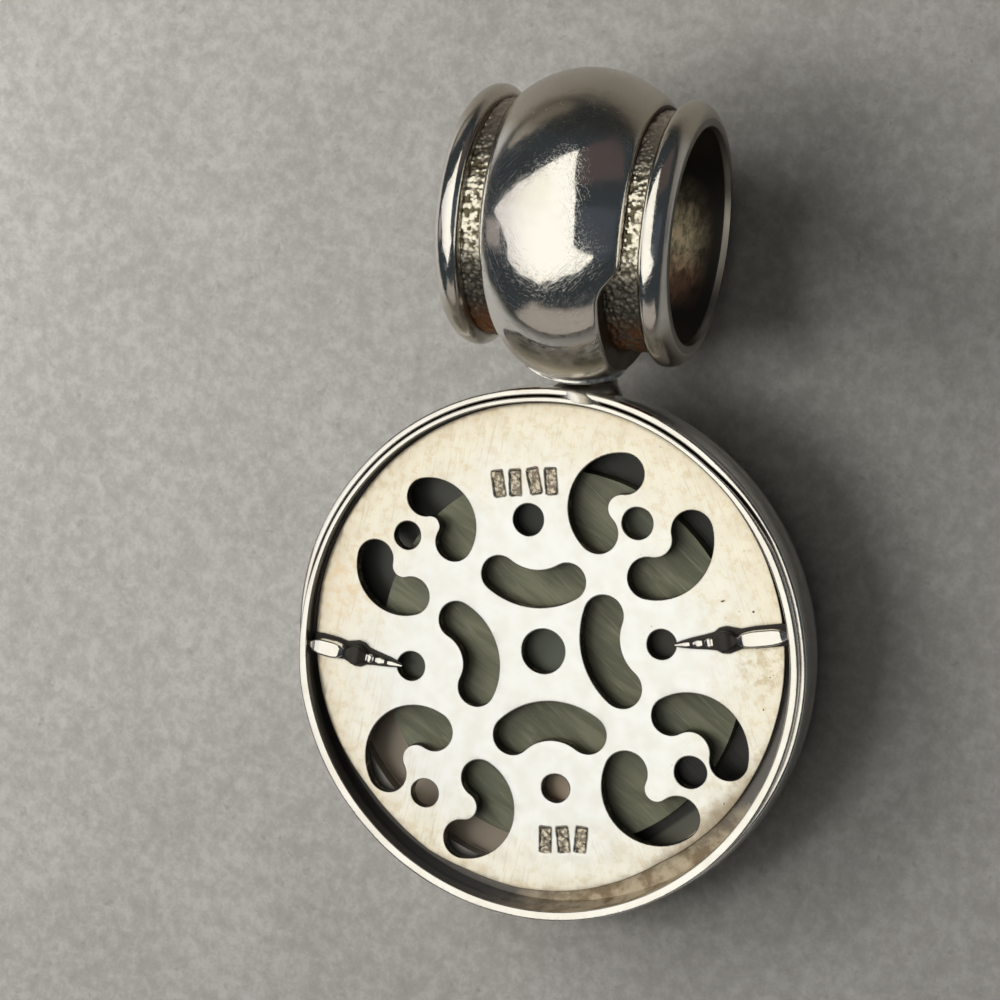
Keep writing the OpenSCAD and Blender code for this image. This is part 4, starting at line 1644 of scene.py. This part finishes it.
def front_height(x, y):
    """Height of the carved front, with its petals and its middle boss."""
    low = np.full(x.shape, GROUND_Z)
    for ring, (start, long, half, share) in enumerate(ROSETTE):
        bend = ((long / 2) ** 2 + half ** 2) / (2 * half)
        axis_z = GROUND_Z + half - RELIEF * share
        for i in range(PETALS):
            t = 2 * math.pi * (i + ring / 2) / PETALS
            u = x * math.cos(t) + y * math.sin(t) - start - long / 2
            v = -x * math.sin(t) + y * math.cos(t)
            girth = half - bend + np.sqrt(np.clip(bend ** 2 - u ** 2, 0, None))
            deep = np.sqrt(np.clip(girth ** 2 - v ** 2, 0, None))
            inside_petal = (np.abs(u) < long / 2) & (girth > np.abs(v))
            vein = VEIN_DEEP * np.clip(1 - np.abs(v) / VEIN_HALF, 0, 1)
            low = np.where(inside_petal, np.minimum(low, axis_z - deep + vein), low)
    boss = GROUND_Z - np.sqrt(np.clip(RELIEF ** 2 - np.hypot(x, y) ** 2, 0, None))
    return np.minimum(low, boss)


print("petals:", PETALS * len(ROSETTE), "relief in mm:", RELIEF)

# %% [markdown]
# The two faces are joined at the girdle into one grid. The step on the back sits a little off centre, so the
# rings of the back are moved, less and less towards the girdle.

# %% Cut the stone
STONE_ROUND, STONE_RINGS = 288, 80
STEP_SHIFT, SHIFT_FADES = (0.32, -0.32), (0.3, 1.8)
radii = np.unique(np.concatenate([
    np.linspace(0.15, STONE_R, STONE_RINGS),
    STEP_R + np.array([-0.2, -STEP_SOFT, -STEP_SOFT / 2, 0, 0.15]),
    [STONE_R - RIM_SOFT, STONE_R - RIM_SOFT / 2],
]))
t = np.linspace(0, 2 * math.pi, STONE_ROUND, endpoint=False)
x, y = (np.outer(f(t), radii) for f in (np.cos, np.sin))
shift = np.clip((STONE_R - SHIFT_FADES[0] - radii) / SHIFT_FADES[1], 0, 1)[None, :]
back_z = np.tile(back_height(radii), (STONE_ROUND, 1))
back = np.stack([x + shift * STEP_SHIFT[0], y + shift * STEP_SHIFT[1], back_z], -1)
front = np.stack([x, y, front_height(x, y)], -1)
stone = capped("banded_stone", np.concatenate([back, front[:, ::-1]], 1), 40)

# %% [markdown]
# ### Banded stone
#
# The colour lies between two olives. Long thin pale streaks run across it, a little bent, and a softer band
# structure crosses them. The surface is ground, not polished, so its gloss is dull. Outside the raised step
# the back is painted in shade: dark at the upper left and nearly black on the right, with painted light, a
# pale brown, at the lower left. Through the small holes it is darker, painted shade in the deep holes, and
# pale brown under the lowest one, painted light. All of this is on the back alone.

# %% Choose the stone's colours
OLIVE_DEEP, OLIVE_LIGHT = (0.135, 0.140, 0.088), (0.235, 0.240, 0.158)
STREAK_PALE, CLOUD_GREEN = (0.40, 0.41, 0.31), (0.13, 0.155, 0.12)
STEP_SHADE_GREY, STEP_SHADE_BLACK = (0.085, 0.087, 0.078), (0.028, 0.028, 0.026)
STEP_LIT_BROWN, EDGE_OLIVE = (0.50, 0.42, 0.33), (0.17, 0.17, 0.135)
# painted shade in the deep holes, and painted light, pale brown, under the lowest hole
HOLE_LIGHT_AND_SHADE = [
    {"at": (0.80, -6.44), "reach": 1.0, "colour": (0.58, 0.46, 0.33)},
    {"at": (7.10, -4.57), "reach": 1.2, "colour": (0.010, 0.010, 0.010)},
    {"at": (-1.77, 5.86), "reach": 1.1, "colour": (0.026, 0.030, 0.024)},
    {"at": (5.12, 1.07), "reach": 1.0, "colour": (0.050, 0.048, 0.036)},
    {"at": (-6.83, -1.82), "reach": 1.0, "colour": (0.115, 0.125, 0.095)},
    {"at": (-0.43, -0.13), "reach": 1.4, "colour": (0.110, 0.125, 0.092)},
]
print("stains on the stone:", len(HOLE_LIGHT_AND_SHADE))

# %% [markdown]
# The painted shade ends sharply where the step rises. It is laid over the bands first, and the painted light
# and shade of the holes over both.

# %% Mix the banded stone
# painted shade outside the step, grey to black, with painted light, a pale brown, at the lower left
def step_shade_tone(place):
    lower_left, lower_right = along_way(place, (-0.62, -0.78, 0.0)), along_way(place, (0.68, -0.73, 0.0))
    tone = blend_colour(ramp(xyz(place)[0], -4.0, 1.0), STEP_SHADE_GREY, STEP_SHADE_BLACK)
    tone = blend_colour(ramp(lower_left, 5.5, 8.0), tone, STEP_LIT_BROWN)
    return blend_colour(ramp(lower_right, 9.55, 9.8), tone, EDGE_OLIVE)


def banded_stone():
    material, tree, shader = finish_of("banded_stone")
    place = flat_place(tree)
    bands = noise(stretched(place, 0.5, (0.25, 1.6, 0.6)), 1.0, 5, 0.6, 0.6)
    fine = noise(stretched(place, 0.65, (0.4, 9.0, 2.0)), 1.0, 4, 0.65, 0.4)
    clouds = noise(place, 0.4, 3, 0.5)
    tone = blend_colour(ramp(bands, 0.35, 0.65), OLIVE_DEEP, OLIVE_LIGHT)
    tone = blend_colour(times(ramp(fine, 0.56, 0.74), 0.6), tone, STREAK_PALE)
    tone = blend_colour(ramp(clouds, 0.5, 0.75, 0.0, 0.5), tone, CLOUD_GREEN)
    behind = math_node("GREATER_THAN", xyz(place)[2], (SHOULDER_Z + GROUND_Z) / 2)
    outside = ramp(far_from(place, STEP_SHIFT), STEP_R - 0.03, STEP_R + 0.03)
    tone = blend_colour(times(outside, behind), tone, step_shade_tone(place))
    for spot in HOLE_LIGHT_AND_SHADE:
        near = ramp(far_from(place, spot["at"]), spot["reach"] * 0.7, spot["reach"], 1.0, 0.0)
        tone = blend_colour(times(near, behind), tone, spot["colour"])
    feed(shader, "Base Color", tone)
    feed(shader, "Roughness", ramp(fine, 0.3, 0.7, 0.45, 0.32))
    shader.inputs["Specular IOR Level"].default_value = 0.4
    feed(shader, "Normal", bump(fine, 0.00002, 0.4))
    return material


stone.data.materials.append(banded_stone())
dress(stone, "cameo", slot="carved_stone")
print("stone dressed")
